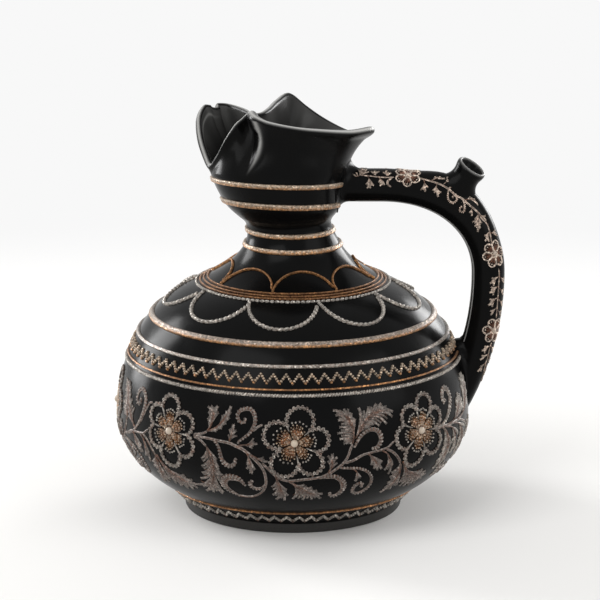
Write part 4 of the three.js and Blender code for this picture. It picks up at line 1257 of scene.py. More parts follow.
class JUG_OT_flowers(JugOperator):
    """Makes the flowers: looped petal outlines, gold stamens, silver dots and a pearl each"""

    bl_idname = "jug.flowers"
    bl_label = "Flowers"

    def execute(self, context):
        shape = JugShape()
        run = shape.run_at_height(shape.widest + FRIEZE_RISE)
        across = 2 * mm("pearl_radius")
        for number in range(1, 8):
            heart, petals = FLOWERS[(1, 0, 1, 2)[number % 4]]
            heart = np.array(heart)
            place = shape.belly_map(flower_degrees(number - 1), run)
            fans = self.outline(place, heart, petals, number)
            self.stamens(place, heart, fans, number)
            pearl = Relief(place)
            pearl.stamp(dome(20), [heart], 0.0, (across, across, 2.3))
            pearl.build(f"pearl_{number}", "pearl", (f"flower_centre_{number}",))
        return {"FINISHED"}

    def outline(self, place, heart, petals, number):
        """A row of small loops round the petals, and a line where two petals meet.

        The loops lean out and in by turns. Gives the directions, seen from the pearl, between
        which each petal lies.
        """
        theta = np.linspace(-math.pi, math.pi, 720, endpoint=False)
        ray = np.stack([np.cos(theta), np.sin(theta)], axis=1)
        middles = np.array(petals)[:, :2] - heart
        radii = np.array(petals)[:, 2]
        along = ray @ middles.T
        off = np.sum(middles ** 2, axis=1) - along ** 2
        room = radii ** 2 - off
        far = np.where((room > 0) & (along > 0), along + np.sqrt(np.maximum(room, 0)), 0)
        reach = far.max(axis=1)
        hit = reach > 0
        nearest = np.argmax(along / np.linalg.norm(middles, axis=1), axis=1)
        owner = np.where(hit, far.argmax(axis=1), nearest)
        reach = np.interp(theta, theta[hit], reach[hit], period=2 * math.pi)
        path = heart + ray * reach[:, None]
        closed = np.concatenate([path, path[:1]])
        lengths = run_lengths(closed)
        count = 2 * int(lengths[-1] / 2.6)
        rng = np.random.default_rng(number)
        cord = Relief(place)
        width = mm("petal_cord")
        spots = at_runs(closed, lengths, np.arange(count) * lengths[-1] / count)
        along = directions(spots, closed=True)
        side = np.where(np.arange(count) % 2, -1, 1)
        turns = np.arctan2(along[:, 1], along[:, 0]) - side * 0.5
        sizes = rng.uniform(0.9, 1.1, count)[:, None] * (2.0, width * 0.72, 1.0)
        loops = spots - to_the_left(along) * (side * width * 0.15)[:, None]
        cord.stamp(LOOP, loops, turns + math.pi / 2, sizes[:, [1, 0, 2]],
                   rng.uniform(0.1, 0.55, count))
        cord.ridge(np.concatenate([spots, spots[:1]]), width * 0.4, 0.35, 0.9, (1, 1), 1.2)
        notches = np.flatnonzero(owner != np.roll(owner, 1))
        inner_end = 7.6
        for start in notches:
            out = path[start] - heart
            inner = heart + out * (inner_end / np.hypot(*out))
            cord.ridge([path[start], (path[start] + inner) / 2, inner], [1.5, 0.9, 0.5], 0.7, 0.1)
        cord.build(f"petal_outline_{number}", "silver", (f"flower_{number}",))
        ends = theta[np.roll(notches, -1)]
        return [(a, b if b > a else b + 2 * math.pi) for a, b in zip(theta[notches], ends)]

    def stamens(self, place, heart, fans, number):
        """A fan of gold filaments for each petal, with pale bead points and dots beyond them."""
        rng = np.random.default_rng(number)
        gold, pale, silver = Relief(place), Relief(place), Relief(place)
        # Edge of the pearl, where all lines start
        start = 2.6
        for low, high in fans:
            middle = (low + high) / 2
            spread = (high - low) / 2 - 0.1

            def spot(share, reach):
                """Point at a share of the fan's half-angle and a distance from the pearl."""
                angle = middle + spread * share
                return heart + reach * np.array([math.cos(angle), math.sin(angle)])

            # A low dark ground under the fan, nine filaments, and six lines of beads on them
            wide = 2 * math.tan(spread)
            gold.ridge([spot(0, 2.2), spot(0, 5), spot(0, 8)],
                       wide * np.array([1.8, 3.2, 4.6, 5.2, 4.0]), 0.3, 1.3, (1, 0.6), 0.8)
            for share in np.linspace(-0.95, 0.95, 9):
                outer = 11.2 - 2.6 * share ** 2 + rng.uniform(-0.4, 0.4)
                gold.ridge([spot(share, start), spot(share, outer)], [0.45, 0.6, 0.5], 0.5, 0.45,
                           step=3.0)
            for share in np.linspace(-0.85, 0.85, 6):
                outer = 11.0 - 2.4 * share ** 2
                reaches = outer * (np.array([1, 0.8, 0.6, 0.42]) + rng.uniform(-0.06, 0.06, 4))
                shares = share + rng.uniform(-0.08, 0.08, 4)
                pale.ridge([spot(share, start), spot(share, outer * 0.5)], [0.4, 0.55], 0.6, 0.1,
                           step=3.0)
                beads = [spot(s, r) for s, r in zip(shares, reaches)]
                pale.stamp(SMALL_DOME, beads, 0.0, (1.1, 1.1, 0.8), rng.uniform(0, 0.3, 4))
            dots = [spot(share, 13.2 - 1.2 * abs(share) + rng.uniform(-0.3, 0.3))
                    for share in np.linspace(-0.66, 0.66, 5)]
            silver.stamp(SMALL_DOME, dots, 0.0, (1.35, 1.35, 0.75))
        gold.build(f"stamens_{number}", "gold")
        pale.build(f"stamen_beads_{number}", "champagne")
        silver.build(f"petal_dots_{number}", "silver")


# The frieze between the flowers, drawn flat in millimetres right of and above the middle of a
# five-petalled flower. A leaf is the line of its rib, then its lobes: how far along the rib each
# one starts, where its tip is, and how wide it is.
LEFT_LEAVES = [
    ([(-55.5, 3.6), (-53, 7), (-51.6, 11), (-51.2, 15)],
     [(0.35, -55, 11.8, 2.6), (0.6, -55, 15.4, 2.4), (0.85, -55.8, 18.6, 2.4),
      (0.95, -53.6, 19.3, 2), (1, -49.2, 19.4, 2.8), (0.75, -48.3, 15.8, 2.4)]),
    ([(-55, 3.8), (-50.5, 6), (-46.5, 9.3), (-43, 14)],
     [(1, -40.3, 20.2, 2.6), (0.85, -40.2, 17, 2.2), (0.7, -40.6, 13.5, 2.2),
      (0.5, -42.8, 10, 2.3), (0.3, -45.3, 6.8, 2.4), (0.12, -49, 4.6, 2.2),
      (0.75, -45.5, 14.5, 2), (0.9, -43, 17.3, 2)]),
    ([(-40.5, -1), (-39.3, 2), (-38.5, 5)],
     [(1, -38, 9.8, 2.6), (0.6, -40.3, 6.6, 2), (0.6, -36, 6.2, 2), (0.3, -41, 3.2, 1.6),
      (0.2, -35.4, 3, 1.8)]),
    ([(-35, -3), (-31, -2.2), (-28, -1.6)],
     [(1, -25.4, 2.4, 1.6), (1, -22.9, -0.8, 1.7), (0.8, -25.8, -4, 1.6)]),
    ([(-29.5, -6), (-28.2, -9), (-27.3, -12)],
     [(1, -27, -19.6, 3.2), (0.8, -24.5, -17, 2.2), (0.9, -29.3, -16.8, 2.2),
      (0.55, -29.3, -13.4, 1.8)]),
    ([(-27, -8), (-23.5, -9.5), (-21, -11)],
     [(0.8, -19, -8.6, 1.5), (1, -16.8, -11.4, 1.6)]),
    ([(-55.4, -5.5), (-52.8, -9), (-51.3, -14), (-51, -19), (-52.3, -25), (-54.5, -31)],
     [(0.12, -58.7, -13.5, 2.4), (0.3, -59.3, -18.6, 2.5), (0.45, -60, -23.6, 2.5),
      (0.62, -62.4, -28.2, 2.6), (0.8, -68, -34.5, 2.6), (0.95, -62.5, -39.5, 2.6),
      (1, -57, -39.8, 2.6), (0.92, -50, -39.8, 2.5), (0.12, -48.6, -12.8, 2.4),
      (0.27, -47.8, -17.5, 2.4), (0.42, -46.2, -23, 2.5), (0.62, -47.4, -29, 2.5),
      (0.8, -48.8, -38, 2.5)]),
    ([(-12, -21.5), (-10.5, -26), (-9, -31)],
     [(0.3, -14.8, -29.5, 2.2), (0.6, -14.6, -36.8, 2.4), (1, -12.7, -41.6, 2.6),
      (1, -7.3, -42.6, 2.6), (0.8, -4.8, -37, 2.2), (0.5, -5.5, -31.5, 2)]),
    ([(-4, -25), (1, -28.5), (6, -32.5), (10, -35)],
     [(0.3, -1.7, -41, 2.4), (0.5, 1.8, -40.6, 2.2), (0.75, 5, -42, 2.4), (1, 10.8, -42, 2.6),
      (1, 17, -41, 2.4), (0.95, 17.6, -36, 2.2), (0.8, 13.6, -32.6, 2), (0.6, 10.3, -29.8, 2),
      (0.4, 5.5, -27.3, 1.8)]),
]

RIGHT_LEAVES = [
    ([(19.5, -20), (21.5, -16), (22, -12)],
     [(1, 22, -7.3, 2.6), (0.8, 19.3, -8.3, 2.2), (0.8, 25, -9.5, 2.2), (0.5, 19.3, -11.5, 1.8),
      (0.5, 25, -13, 1.8)]),
    ([(34.6, -2), (35.5, 2.5), (35.2, 7), (33.3, 11.8), (30.5, 15.5)],
     [(0.05, 29, -1.4, 2.4), (0.2, 26.6, 1.6, 2.5), (0.38, 25.2, 5, 2.5), (0.55, 26.6, 8.6, 2.5),
      (0.72, 26, 12.7, 2.4), (0.88, 24.6, 15.8, 2.2), (1, 23.2, 18.9, 2.3),
      (0.97, 30.3, 19.2, 2), (0.9, 32.8, 19, 2), (0.75, 34.9, 16.4, 2.2),
      (0.5, 36.8, 12.8, 2.4)]),
    ([(36.5, 1), (40, 6.5), (43.8, 11.5), (49, 14.8), (55.5, 15.6)],
     [(0.15, 39.7, 19, 2.8), (0.5, 46.4, 19.2, 2.6), (0.68, 51.8, 20.2, 2.3),
      (0.82, 55.3, 20, 2.3), (0.95, 58.8, 17.8, 2.2), (1, 63, 14, 2.3), (0.9, 62.3, 11, 2.2),
      (0.78, 57.8, 7.3, 2.4), (0.6, 52.7, 7, 2.5), (0.42, 48, 8.2, 2.4),
      (0.25, 46.5, 6.8, 2.2)]),
    ([(44, -9), (47, -11), (49.5, -14)],
     [(0.4, 46.8, -16.5, 1.8), (0.8, 49.2, -19.3, 2.2), (1, 51.5, -20.6, 2.4),
      (0.9, 54.5, -20, 2.4), (0.5, 54.3, -15.5, 2.2)]),
    ([(54, -8.3), (57.5, -10.5), (60, -14)],
     [(0.7, 57, -21.6, 2), (1, 60.3, -25, 2.3), (0.8, 62, -19, 1.8)]),
    ([(68.5, -19), (69.5, -24), (68.5, -30), (66, -35)],
     [(0.1, 63, -24.5, 2.2), (0.2, 62.8, -28, 2.4), (0.45, 62.8, -33, 2.5),
      (0.7, 62.5, -37.5, 2.5), (1, 61.5, -42, 2.6), (0.8, 68.5, -40.5, 2.4),
      (0.4, 72.5, -37.5, 2.4)]),
    ([(70, -18), (75, -24.5), (81, -29), (88, -32)],
     [(0.2, 73.5, -35, 2.4), (0.35, 76.5, -39.5, 2.5), (0.55, 81, -41, 2.5),
      (0.75, 86, -42, 2.5), (1, 91.5, -41.5, 2.5), (1, 97, -38.5, 2.3),
      (0.95, 98.5, -34.5, 2.3), (0.8, 96, -31, 2.2), (0.65, 91, -28.3, 2)]),
    ([(34, -17.3), (37, -19), (38.5, -22)],
     [(1, 38, -27, 2.4), (0.9, 41, -24.5, 2.2)]),
]

# Beside the handle's foot, right of the flower next to it. The other side mirrors it.
HANDLE_MIDDLE = 171.0
END_LEAVES = [
    ([(106, -3.4), (113, -3.4), (120.6, -2.6), (125.5, 0.5), (128.5, 5.5)],
     [(0.85, 125.8, 9.5, 2.6), (1, 129.5, 12, 3), (0.95, 133.5, 10.6, 2.8),
      (0.85, 137, 7.4, 2.6), (0.7, 139.8, 4, 2.6)]),
    ([(126, -3.6), (135, -2.6), (141, 1), (145, 6), (146.5, 11)],
     [(0.6, 140.5, 9.5, 2.6), (0.75, 140, 14.5, 2.8), (0.9, 140, 19, 3), (1, 143.5, 20.8, 3),
      (1, 147.5, 20.5, 3), (0.95, 151.5, 18, 3), (0.8, 153.5, 13, 3), (0.65, 154, 7.5, 2.8),
      (0.5, 152, 2.5, 2.6)]),
    ([(101, -2.6), (107, -4.5), (111.5, -9), (113.5, -15), (112.5, -21), (109.5, -26)],
     [(0.35, 107.5, -14.5, 2.2), (0.5, 106.5, -18.5, 2.2), (0.65, 105.5, -22, 2.3),
      (0.8, 104.5, -26, 2.4), (1, 104, -31.5, 2.5), (0.45, 117.5, -18, 2.2),
      (0.6, 117, -23, 2.3), (0.75, 115, -28, 2.4), (0.9, 111.5, -33, 2.5)]),
    ([(110, -4.5), (117, -6), (121.5, -10), (123.5, -15)],
     [(1, 121, -24, 2.6), (1, 125.5, -22.5, 2.4), (0.6, 119, -17, 2.2), (0.5, 127, -13, 2.2)]),
    ([(120, -4), (129, -7), (135, -12), (138, -19)],
     [(1, 133, -32, 2.6), (1, 139, -31, 2.6), (0.8, 129.5, -26, 2.3), (0.6, 130, -19.5, 2.2),
      (0.6, 143, -20, 2.3), (0.3, 140, -11, 2.2), (0.9, 143, -27, 2.4)]),
    ([(108, -27), (112, -32), (118, -35.5), (126, -37)],
     [(0.5, 111, -40.5, 2.3), (0.8, 118, -42, 2.4), (1, 126, -42.5, 2.4), (1, 132, -39, 2.3),
      (0.8, 130, -34.5, 2.2), (0.5, 120, -30.5, 2)]),
    ([(166, -18), (160, -17), (154, -14)],
     [(1, 147, -17, 2.4), (1, 148, -10, 2.4), (0.5, 153, -22, 2.2), (0.4, 155, -8, 2.2)]),
]

# Under the middle of the handle's foot
FOOT_LEAVES = [
    ([(171, -16), (171, -23), (171, -30)],
     [(1, 171, -41.5, 3.2), (0.8, 166, -38.5, 2.6), (0.8, 176, -38.5, 2.6),
      (0.5, 162, -32, 2.6), (0.5, 180, -32, 2.6), (0.2, 161, -24, 2.4), (0.2, 181, -24, 2.4)]),
]

# Stems and scrolls: points, widths along them, and whether small beads edge their outer side
LEFT_STEMS = [
    ([(-64.5, 0), (-60, -0.2), (-52, -0.6), (-46, -1.2), (-40, -1.8), (-35.5, -3.5), (-32, -4.7),
      (-28, -7.5), (-24, -11), (-20.5, -15), (-18.5, -20), (-18.3, -27), (-20.5, -33), (-25, -38),
      (-31, -40.5), (-38, -39.8), (-43, -36.5)], (1.2, 1.6, 1.4, 1.2), False),
    ([(-32, -29.5), (-34.5, -25.5), (-38.5, -24), (-44, -25), (-46.5, -31), (-43.5, -36),
      (-38, -39.8)], (1.2, 4.6, 5.6, 4.4, 1.4), True),
    ([(-64.5, 0.7), (-60, 1.6), (-57, 2.6), (-55, 3.8)], (1.2,), False),
    ([(-34.8, -1), (-34.5, -0.3), (-31.5, 2), (-28, 5), (-25.7, 8.5), (-24.5, 12), (-25, 16),
      (-27.3, 19.3), (-30.8, 19.5), (-34.5, 18), (-35.7, 14.8), (-34.3, 12), (-32, 11.3),
      (-30.6, 12.6), (-31.3, 14.2)], (1.2, 2.0, 2.8, 2.4, 1.6), True),
    ([(-25.5, 6.5), (-23, 9), (-19.8, 10.8)], (1.1,), False),
    ([(-51, -0.8), (-48, -3.3), (-46.3, -7.5), (-45.2, -12), (-42.7, -15.3), (-39.4, -16),
      (-37, -14), (-36.4, -11.2)], (1.2, 2.2, 3.3, 2.0), True),
    ([(-19, -28), (-21.5, -31), (-25, -32), (-28, -30), (-28.3, -27.3), (-26.8, -25.8)],
     (1.2, 2.8, 2.6), True),
    ([(-64.5, -0.7), (-62, -1.3), (-58.8, -2.7), (-55.4, -5.5)], (1.2,), False),
    ([(-20, -12.5), (-15.8, -17), (-12, -21), (-8.3, -23.6), (-4, -24.6), (0, -24.3), (5, -23.6),
      (10, -23), (16, -22), (21, -19.6), (25.5, -16.5), (29, -13.5), (31.5, -10), (33, -6),
      (34.6, -2)], (1.2, 1.5, 1.5, 1.3), False),
]

RIGHT_STEMS = [
    ([(36, -4), (37.3, -1.5), (39.3, 1.3), (42.5, 4), (47, 5.4), (51.3, 4), (53.4, 0),
      (52.6, -3.8), (50, -6.4), (47.8, -6)], (1.2, 2.2, 3.4, 2.4), True),
    ([(30, -13.5), (33, -12.8), (36, -12), (41, -9.6), (47, -8.6), (53, -8), (58, -7), (61, -5),
      (62.8, -3.8)], (1.4, 1.2, 1), False),
    ([(57, -8), (60.5, -9.6), (63.5, -12), (66.5, -15.5), (68.5, -19)], (1.3,), False),
    ([(27.5, -16.5), (33, -17.2), (39, -18), (44.5, -20.5), (48.3, -25), (49.3, -30),
      (47.7, -35), (44, -38.6), (40, -38.4), (37.8, -35), (38.6, -31.3), (41.3, -29.4),
      (43.6, -31), (42.6, -33)], (1.2, 1.8, 2.6, 2.2), True),
    ([(14, -22.6), (20, -22.2), (25, -22.6), (29, -26), (31, -31), (29.7, -36), (26.3, -39.4),
      (23.3, -38.6), (22.8, -36)], (1.2, 3, 4.2, 3.2, 2), True),
]

# In the second frieze a curl and a small leaf stand in place of the tall leaf
CURL_LEAVES = [
    ([(48, -7), (43.5, -3), (39.5, 2), (36.6, 7)],
     [(1, 35.2, 11.5, 2.6), (0.75, 40.2, 10, 2.2), (0.5, 45.1, 5.5, 2.2), (0.6, 33.5, 5, 2.2),
      (0.35, 36.5, -1.5, 2.2)]),
]

CURL_STEMS = [
    ([(30, -13.5), (36, -12), (44, -9), (50, -4), (52.8, -1), (54.6, 2), (57, 8), (57.6, 13.5),
      (55.6, 17), (51.5, 19), (48, 17), (46.8, 12.5), (49, 9.5), (51.5, 10.5), (52, 13.5)],
     (1.2, 1.6, 2.4, 2.6, 2.0), True),
    ([(54, -1), (57.1, 4), (59.6, 8.5), (62.1, 12.5), (65, 13.5)], (1.1,), False),
]

END_STEMS = [
    ([(99.5, -2.8), (105.5, -1.9), (110, 0.2), (114, 3.6), (117.2, 8), (118.3, 12.5),
      (116.8, 17), (113, 19.2), (109.6, 17.4), (108.6, 13.6), (110, 11.2), (111.8, 12.8)],
     (1, 2.4, 4, 3.4, 2.2), True),
    ([(99.5, -2.6), (110, -3.6), (120, -4), (130, -4.5), (142, -9), (150, -14), (160, -17)],
     (1.5, 1.3, 1.1), False),
]


class JUG_OT_foliage(JugOperator):
    """Makes the leaves, stems and scrolls of the frieze between the flowers"""

    bl_idname = "jug.foliage"
    bl_label = "Foliage frieze"

    def execute(self, context):
        shape = JugShape()
        run = shape.run_at_height(shape.widest + FRIEZE_RISE)
        # A stretch lies on both sides of every second flower
        for number in (1, 2, 3):
            frieze = Relief(shape.belly_map(flower_degrees(2 * number - 1), run))
            if number == 2:
                right_leaves = RIGHT_LEAVES[:2] + RIGHT_LEAVES[3:] + CURL_LEAVES
                right_stems = RIGHT_STEMS[1:] + CURL_STEMS
            else:
                right_leaves, right_stems = RIGHT_LEAVES, RIGHT_STEMS
            self.lay(frieze, LEFT_LEAVES + right_leaves, LEFT_STEMS + right_stems)
            frieze.build(f"foliage_{number}", "mauve")
        near = shape.belly_map(flower_degrees(1), run)
        ends = Relief(near)
        self.lay(ends, END_LEAVES + FOOT_LEAVES, END_STEMS)
        ends.place = lambda flat: near(flat * (-1, 1, 1) + (2 * HANDLE_MIDDLE, 0, 0))
        self.lay(ends, END_LEAVES, END_STEMS)
        ends.build("foliage_at_handle", "silver")
        return {"FINISHED"}

    def lay(self, relief, leaves, stems):
        """Adds leaves, and then stems over them."""
        for rib, lobes in leaves:
            leaf(relief, rib, lobes)
        for path, widths, beaded in stems:
            scroll(relief, path, widths, beaded)


def leaf(relief, rib, lobes, fineness=1.0):
    """Toothed lobes with copper veins, which grow out of a copper rib.

    A smaller lobe fills the space between two that are neighbours on one side of the rib.
    """
    height = mm("leaf_height") * fineness
    rib = resample(rib, 0.8)
    along = directions(rib)
    between = []
    sides = [side_of(rib, along, *lobe[:3]) for lobe in lobes]
    for (a, b), (first, second) in zip(zip(lobes, lobes[1:]), zip(sides, sides[1:])):
        apart = math.hypot(a[1] - b[1], a[2] - b[2])
        if apart < 8 and (first * second > 0 or min(a[0], b[0]) >= 0.8):
            start, u, v, width = np.mean([a, b], axis=0)
            base = rib[place_on(rib, start)]
            u, v = base + 0.82 * (np.array([u, v]) - base)
            between.append((start, u, v, width * 0.85))
    for start, tip_u, tip_v, width in between + list(lobes):
        at = place_on(rib, max(start * 0.85 - 0.08, 0))
        base, tip = rib[at], np.array([tip_u, tip_v])
        reach = tip - base
        size = np.linalg.norm(reach)
        lean = max(float(along[at] @ reach) / size, 0.25)
        control = base + along[at] * size * 0.55 * lean ** 0.5 + reach * 0.25
        relief.lobe(base, control, tip, width * 0.66, height, 0.2)
        end = base + reach * 0.72
        vein = np.array([0.65, 0.5, 0.3]) * fineness
        relief.ridge([base, control * 0.6 + end * 0.25 + base * 0.15, end], vein,
                     height + 0.12, 0.95, step=1.4)
        teeth(relief, base, control, tip, width, height)
    relief.ridge(rib[::3] if len(rib) > 9 else rib, np.array([1.3, 1.0, 0.7]) * fineness,
                 height + 0.15, 0.8)


def place_on(rib, share):
    """Number of the rib's point at a share of its length."""
    return int(round(share * (len(rib) - 1)))


def side_of(rib, along, share, u, v):
    """Positive where a tip lies left of its place on the rib, and negative where right of it."""
    at = place_on(rib, share)
    return along[at][0] * (v - rib[at][1]) - along[at][1] * (u - rib[at][0])


def teeth(relief, base, control, tip, width, height):
    """Small pale points along both edges of a lobe and at its tip."""
    count = max(int(np.hypot(*(tip - base)) / (width * 0.5)), 2)
    t = np.linspace(0.35, 0.97, count)[:, None]
    along = unit(2 * (1 - t) * (control - base) + 2 * t * (tip - control))
    turn = np.arctan2(along[:, 1], along[:, 0])
    swell = np.sin(math.pi * np.clip(t, 0, 0.85)) ** 0.5
    for side in (1, -1):
        spots = arc(base, control, tip, t) + to_the_left(along) * side * width * 0.27 * swell
        relief.stamp(SMALL_DOME, spots, turn + side * math.radians(35),
                     (width * 0.5, width * 0.24, height + 0.1), 0.0)


def scroll(relief, path, widths, beaded, fineness=1.0):
    """Stem with a copper middle and pale edges.

    A beaded one is cut into segments that stand out on its outer side, like a caterpillar.
    """
    height = mm("leaf_height") * fineness
    path = resample(path, 0.9)
    many = len(path)
    wide = np.interp(np.linspace(0, 1, many), np.linspace(0, 1, len(widths)), widths)
    along = directions(path)
    if not beaded:
        relief.ridge(path, wide * 1.35, height * 0.8, 0.15)
        relief.ridge(path, np.maximum(wide * 0.45, 0.5 * fineness), height + 0.15, 0.85)
        return
    side = -1 if np.sum(np.cross(along[:-1], along[1:])) > 0 else 1
    outwards = to_the_left(along) * side * wide[:, None]
    relief.ridge(path, wide * 0.9, height * 0.4, 0.9)
    relief.ridge(path - outwards * 0.36, np.maximum(wide * 0.26, 0.5), height, 0.3)
    edge = path + outwards * 0.16
    spots = resample(edge[::2], 2.05 * fineness)
    share = np.linspace(0, 1, len(spots))
    size = np.interp(share, np.linspace(0, 1, many), wide)
    lie = directions(spots)
    turns = np.arctan2(lie[:, 1], lie[:, 0]) + side * math.radians(20)
    sizes = np.stack([np.full(len(spots), 1.5 * fineness), size * 0.62 + 0.9 * fineness,
                      np.full(len(spots), height + 0.22)], axis=1)
    relief.stamp(DOME, spots, turns, sizes, 0.1 + 0.1 * np.sin(np.arange(len(spots)) * 2.4))


# The garland on the handle, drawn flat in millimetres along the handle from the cup and from its
# outer edge towards the front. Leaves and stems are written as in the frieze.
GARLAND_LEAVES = [
    ([(7, 9), (10, 7.8), (12, 5.5)],
     [(0, 5, 7, 1.2), (0.5, 8.8, 3, 1.6), (1, 10.5, 1, 1.6), (1, 13.5, 2.6, 1.5),
      (0.7, 15, 5.2, 1.3)]),
    ([(20, 8.8), (19, 7.6)],
     [(0.5, 16.6, 5, 1.5), (1, 18.8, 4.2, 1.6), (1, 21.4, 4.8, 1.5)]),
    ([(27, 9), (26, 7.6)],
     [(0.6, 23.8, 5.8, 1.4), (1, 25.8, 3.8, 1.5), (0.4, 28.3, 6, 1.3)]),
    ([(14, 8.2), (15.4, 11), (15.6, 12.6)],
     [(0.7, 13, 13.8, 1.3), (1, 13.8, 16.2, 1.5), (1, 15.8, 16, 1.5), (0.6, 18, 14.6, 1.4)]),
    ([(20.5, 9.2), (22.8, 11), (23.2, 12)],
     [(0.6, 21, 12.6, 1.3), (1, 21.8, 14.8, 1.5), (1, 24.5, 14.2, 1.5)]),
    ([(47, 9.3), (48, 11.5), (48.6, 13)],
     [(0.5, 46.5, 15, 1.3), (1, 49.5, 15.6, 1.3), (0.6, 50.3, 13, 1.2)]),
    ([(50.5, 9.5), (52.5, 8), (54.5, 7.2)],
     [(0.4, 52.5, 6.3, 1.2), (0.8, 55, 5.8, 1.3), (1, 57.5, 6.3, 1.2)]),
    ([(54.3, 10.6), (55, 12.5), (55.8, 13.8)],
     [(0.3, 53.5, 14, 1.2), (0.7, 55, 15, 1.2), (1, 58, 16.3, 1.4), (0.6, 58.5, 13.8, 1.2)]),
    ([(57.5, 10.3), (58.8, 8), (59.4, 6)],
     [(0.6, 58.3, 4.6, 1.2), (1, 60, 3.8, 1.3), (0.7, 61, 6, 1.1)]),
    ([(72, 11), (74, 9), (76, 7.5)],
     [(0.5, 73.6, 7.4, 1.1), (0.7, 76.3, 6.3, 1.2), (0.9, 79.6, 7.5, 1.2)]),
    ([(77.5, 11), (79, 12.2)], [(0.5, 78.6, 13.8, 1.1), (1, 81, 14, 1.3)]),
    ([(82.5, 10.3), (84.8, 12.2), (87, 13.4)],
     [(0.2, 83.4, 13.2, 1.3), (0.4, 84, 15.5, 1.4), (0.7, 87, 16, 1.4), (1, 90.8, 16.3, 1.5),
      (0.9, 89.8, 13.8, 1.4), (0.5, 88, 11.5, 1.3)]),
    ([(84, 10), (86, 9.2)], [(0.5, 86.3, 7.4, 1.2), (1, 88.5, 8.6, 1.3)]),
    ([(94, 9.6), (96, 11.6)], [(0.5, 95, 13.6, 1.4), (1, 98, 14.6, 1.5), (1, 99.4, 12.4, 1.3)]),
    ([(95.5, 9.2), (97.2, 7)], [(0.6, 95.6, 5, 1.3), (1, 98.8, 4.4, 1.4)]),
    ([(120.5, 10), (122.5, 12.2)],
     [(0.4, 121.2, 14.4, 1.5), (1, 124.6, 15.4, 1.7), (1, 126.2, 13, 1.4)]),
    ([(121, 8.8), (123.4, 6.4)], [(0.6, 122.4, 4, 1.4), (1, 125.6, 3.6, 1.5)]),
    ([(126.5, 10), (128.6, 12.4)],
     [(0.4, 127, 14.8, 1.5), (1, 130.6, 15.4, 1.7), (1, 132, 13, 1.4)]),
    ([(128, 8.8), (130.4, 6.6)], [(0.6, 129.4, 4.2, 1.4), (1, 132.6, 3.8, 1.5)]),
    ([(133.5, 10), (135.8, 12.4)],
     [(0.4, 134.6, 15, 1.5), (1, 138.6, 15.4, 1.7), (1, 139.4, 12.8, 1.4)]),
    ([(135, 8.6), (137.4, 6.2)], [(0.6, 136.6, 3.8, 1.4), (1, 139.6, 3.4, 1.5)]),
    ([(140, 9.8), (142, 11.6)], [(0.5, 142, 13.8, 1.4), (1, 144.6, 13, 1.5)]),
    ([(141.5, 8.4), (143.5, 6)], [(0.6, 142.6, 3.8, 1.4), (1, 145.8, 3.6, 1.5)]),
    ([(163.5, 8.6), (165.5, 10.6)],
     [(0.4, 164.4, 12.6, 1.4), (1, 167.6, 13.4, 1.5), (1, 168.8, 11.2, 1.3)]),
    ([(164, 7.4), (166, 5.2)], [(0.6, 165, 3.2, 1.3), (1, 168.2, 3, 1.4)]),
    ([(169, 8), (171, 10.2)], [(0.5, 170.6, 12.6, 1.4), (1, 173.4, 12.6, 1.5)]),
    ([(170, 6.8), (172.6, 4.8)], [(0.7, 172.4, 2.6, 1.3), (1, 175, 3, 1.4)]),
    ([(174.5, 7.6), (177, 9.2)], [(0.6, 177.4, 11, 1.3), (1, 181, 11.4, 1.5), (1, 180.6, 9, 1.2)]),
    ([(176, 6.4), (179, 4.6)], [(0.7, 180, 2.8, 1.2), (1, 183, 3.4, 1.3)]),
]

GARLAND_STEMS = [
    ([(9, 7.8), (14, 8.2), (20, 9), (25, 9.4), (30, 9)], (0.8, 0.9), False),
    ([(29, 9.4), (26.7, 11.6), (26.3, 13.6), (28.6, 15.4)], (0.9, 1.3, 1.0), False),
    ([(44, 8), (50, 9.3), (55, 10), (60.5, 10.8), (65, 11.6), (67.5, 11.8), (70, 11.3),
      (75.5, 11.2), (80, 10.5), (83.5, 10), (86, 10.3), (90, 9), (94, 9.5), (100, 10.8),
      (102.5, 11.2)], (0.9, 1.0, 0.9), False),
    ([(61.5, 11), (62, 12.5), (63.5, 15), (66, 16), (68, 15.3), (68.5, 13.2), (67, 12),
      (65.4, 12.8), (66, 14)], (0.8, 1.4, 1.0), True),
    ([(61, 10.8), (63, 9.2), (66, 8.5), (69.2, 8.5)], (0.8, 1.3, 0.8), False),
    ([(71, 11.3), (72.5, 12), (74.5, 13.5), (76, 15.5), (75, 16.5), (73.5, 16.7), (72.5, 14.8),
      (73.8, 14.6)], (0.8, 1.4, 1.0), True),
    ([(116.5, 9.4), (121, 9.2), (128, 9.4), (135, 9.4), (141, 9), (146.6, 8.6)], (0.9,), False),
    ([(161.8, 8), (166, 8), (171, 7.4), (176, 7), (181, 5.6), (187.5, 2.4)], (0.9, 0.6), False),
]

# Flowers of the garland: place along and across the handle, and half-size
GARLAND_FLOWERS = [(37.8, 6.6, 7.4), (107.5, 11.2, 7.8), (154.3, 8.6, 7.8)]


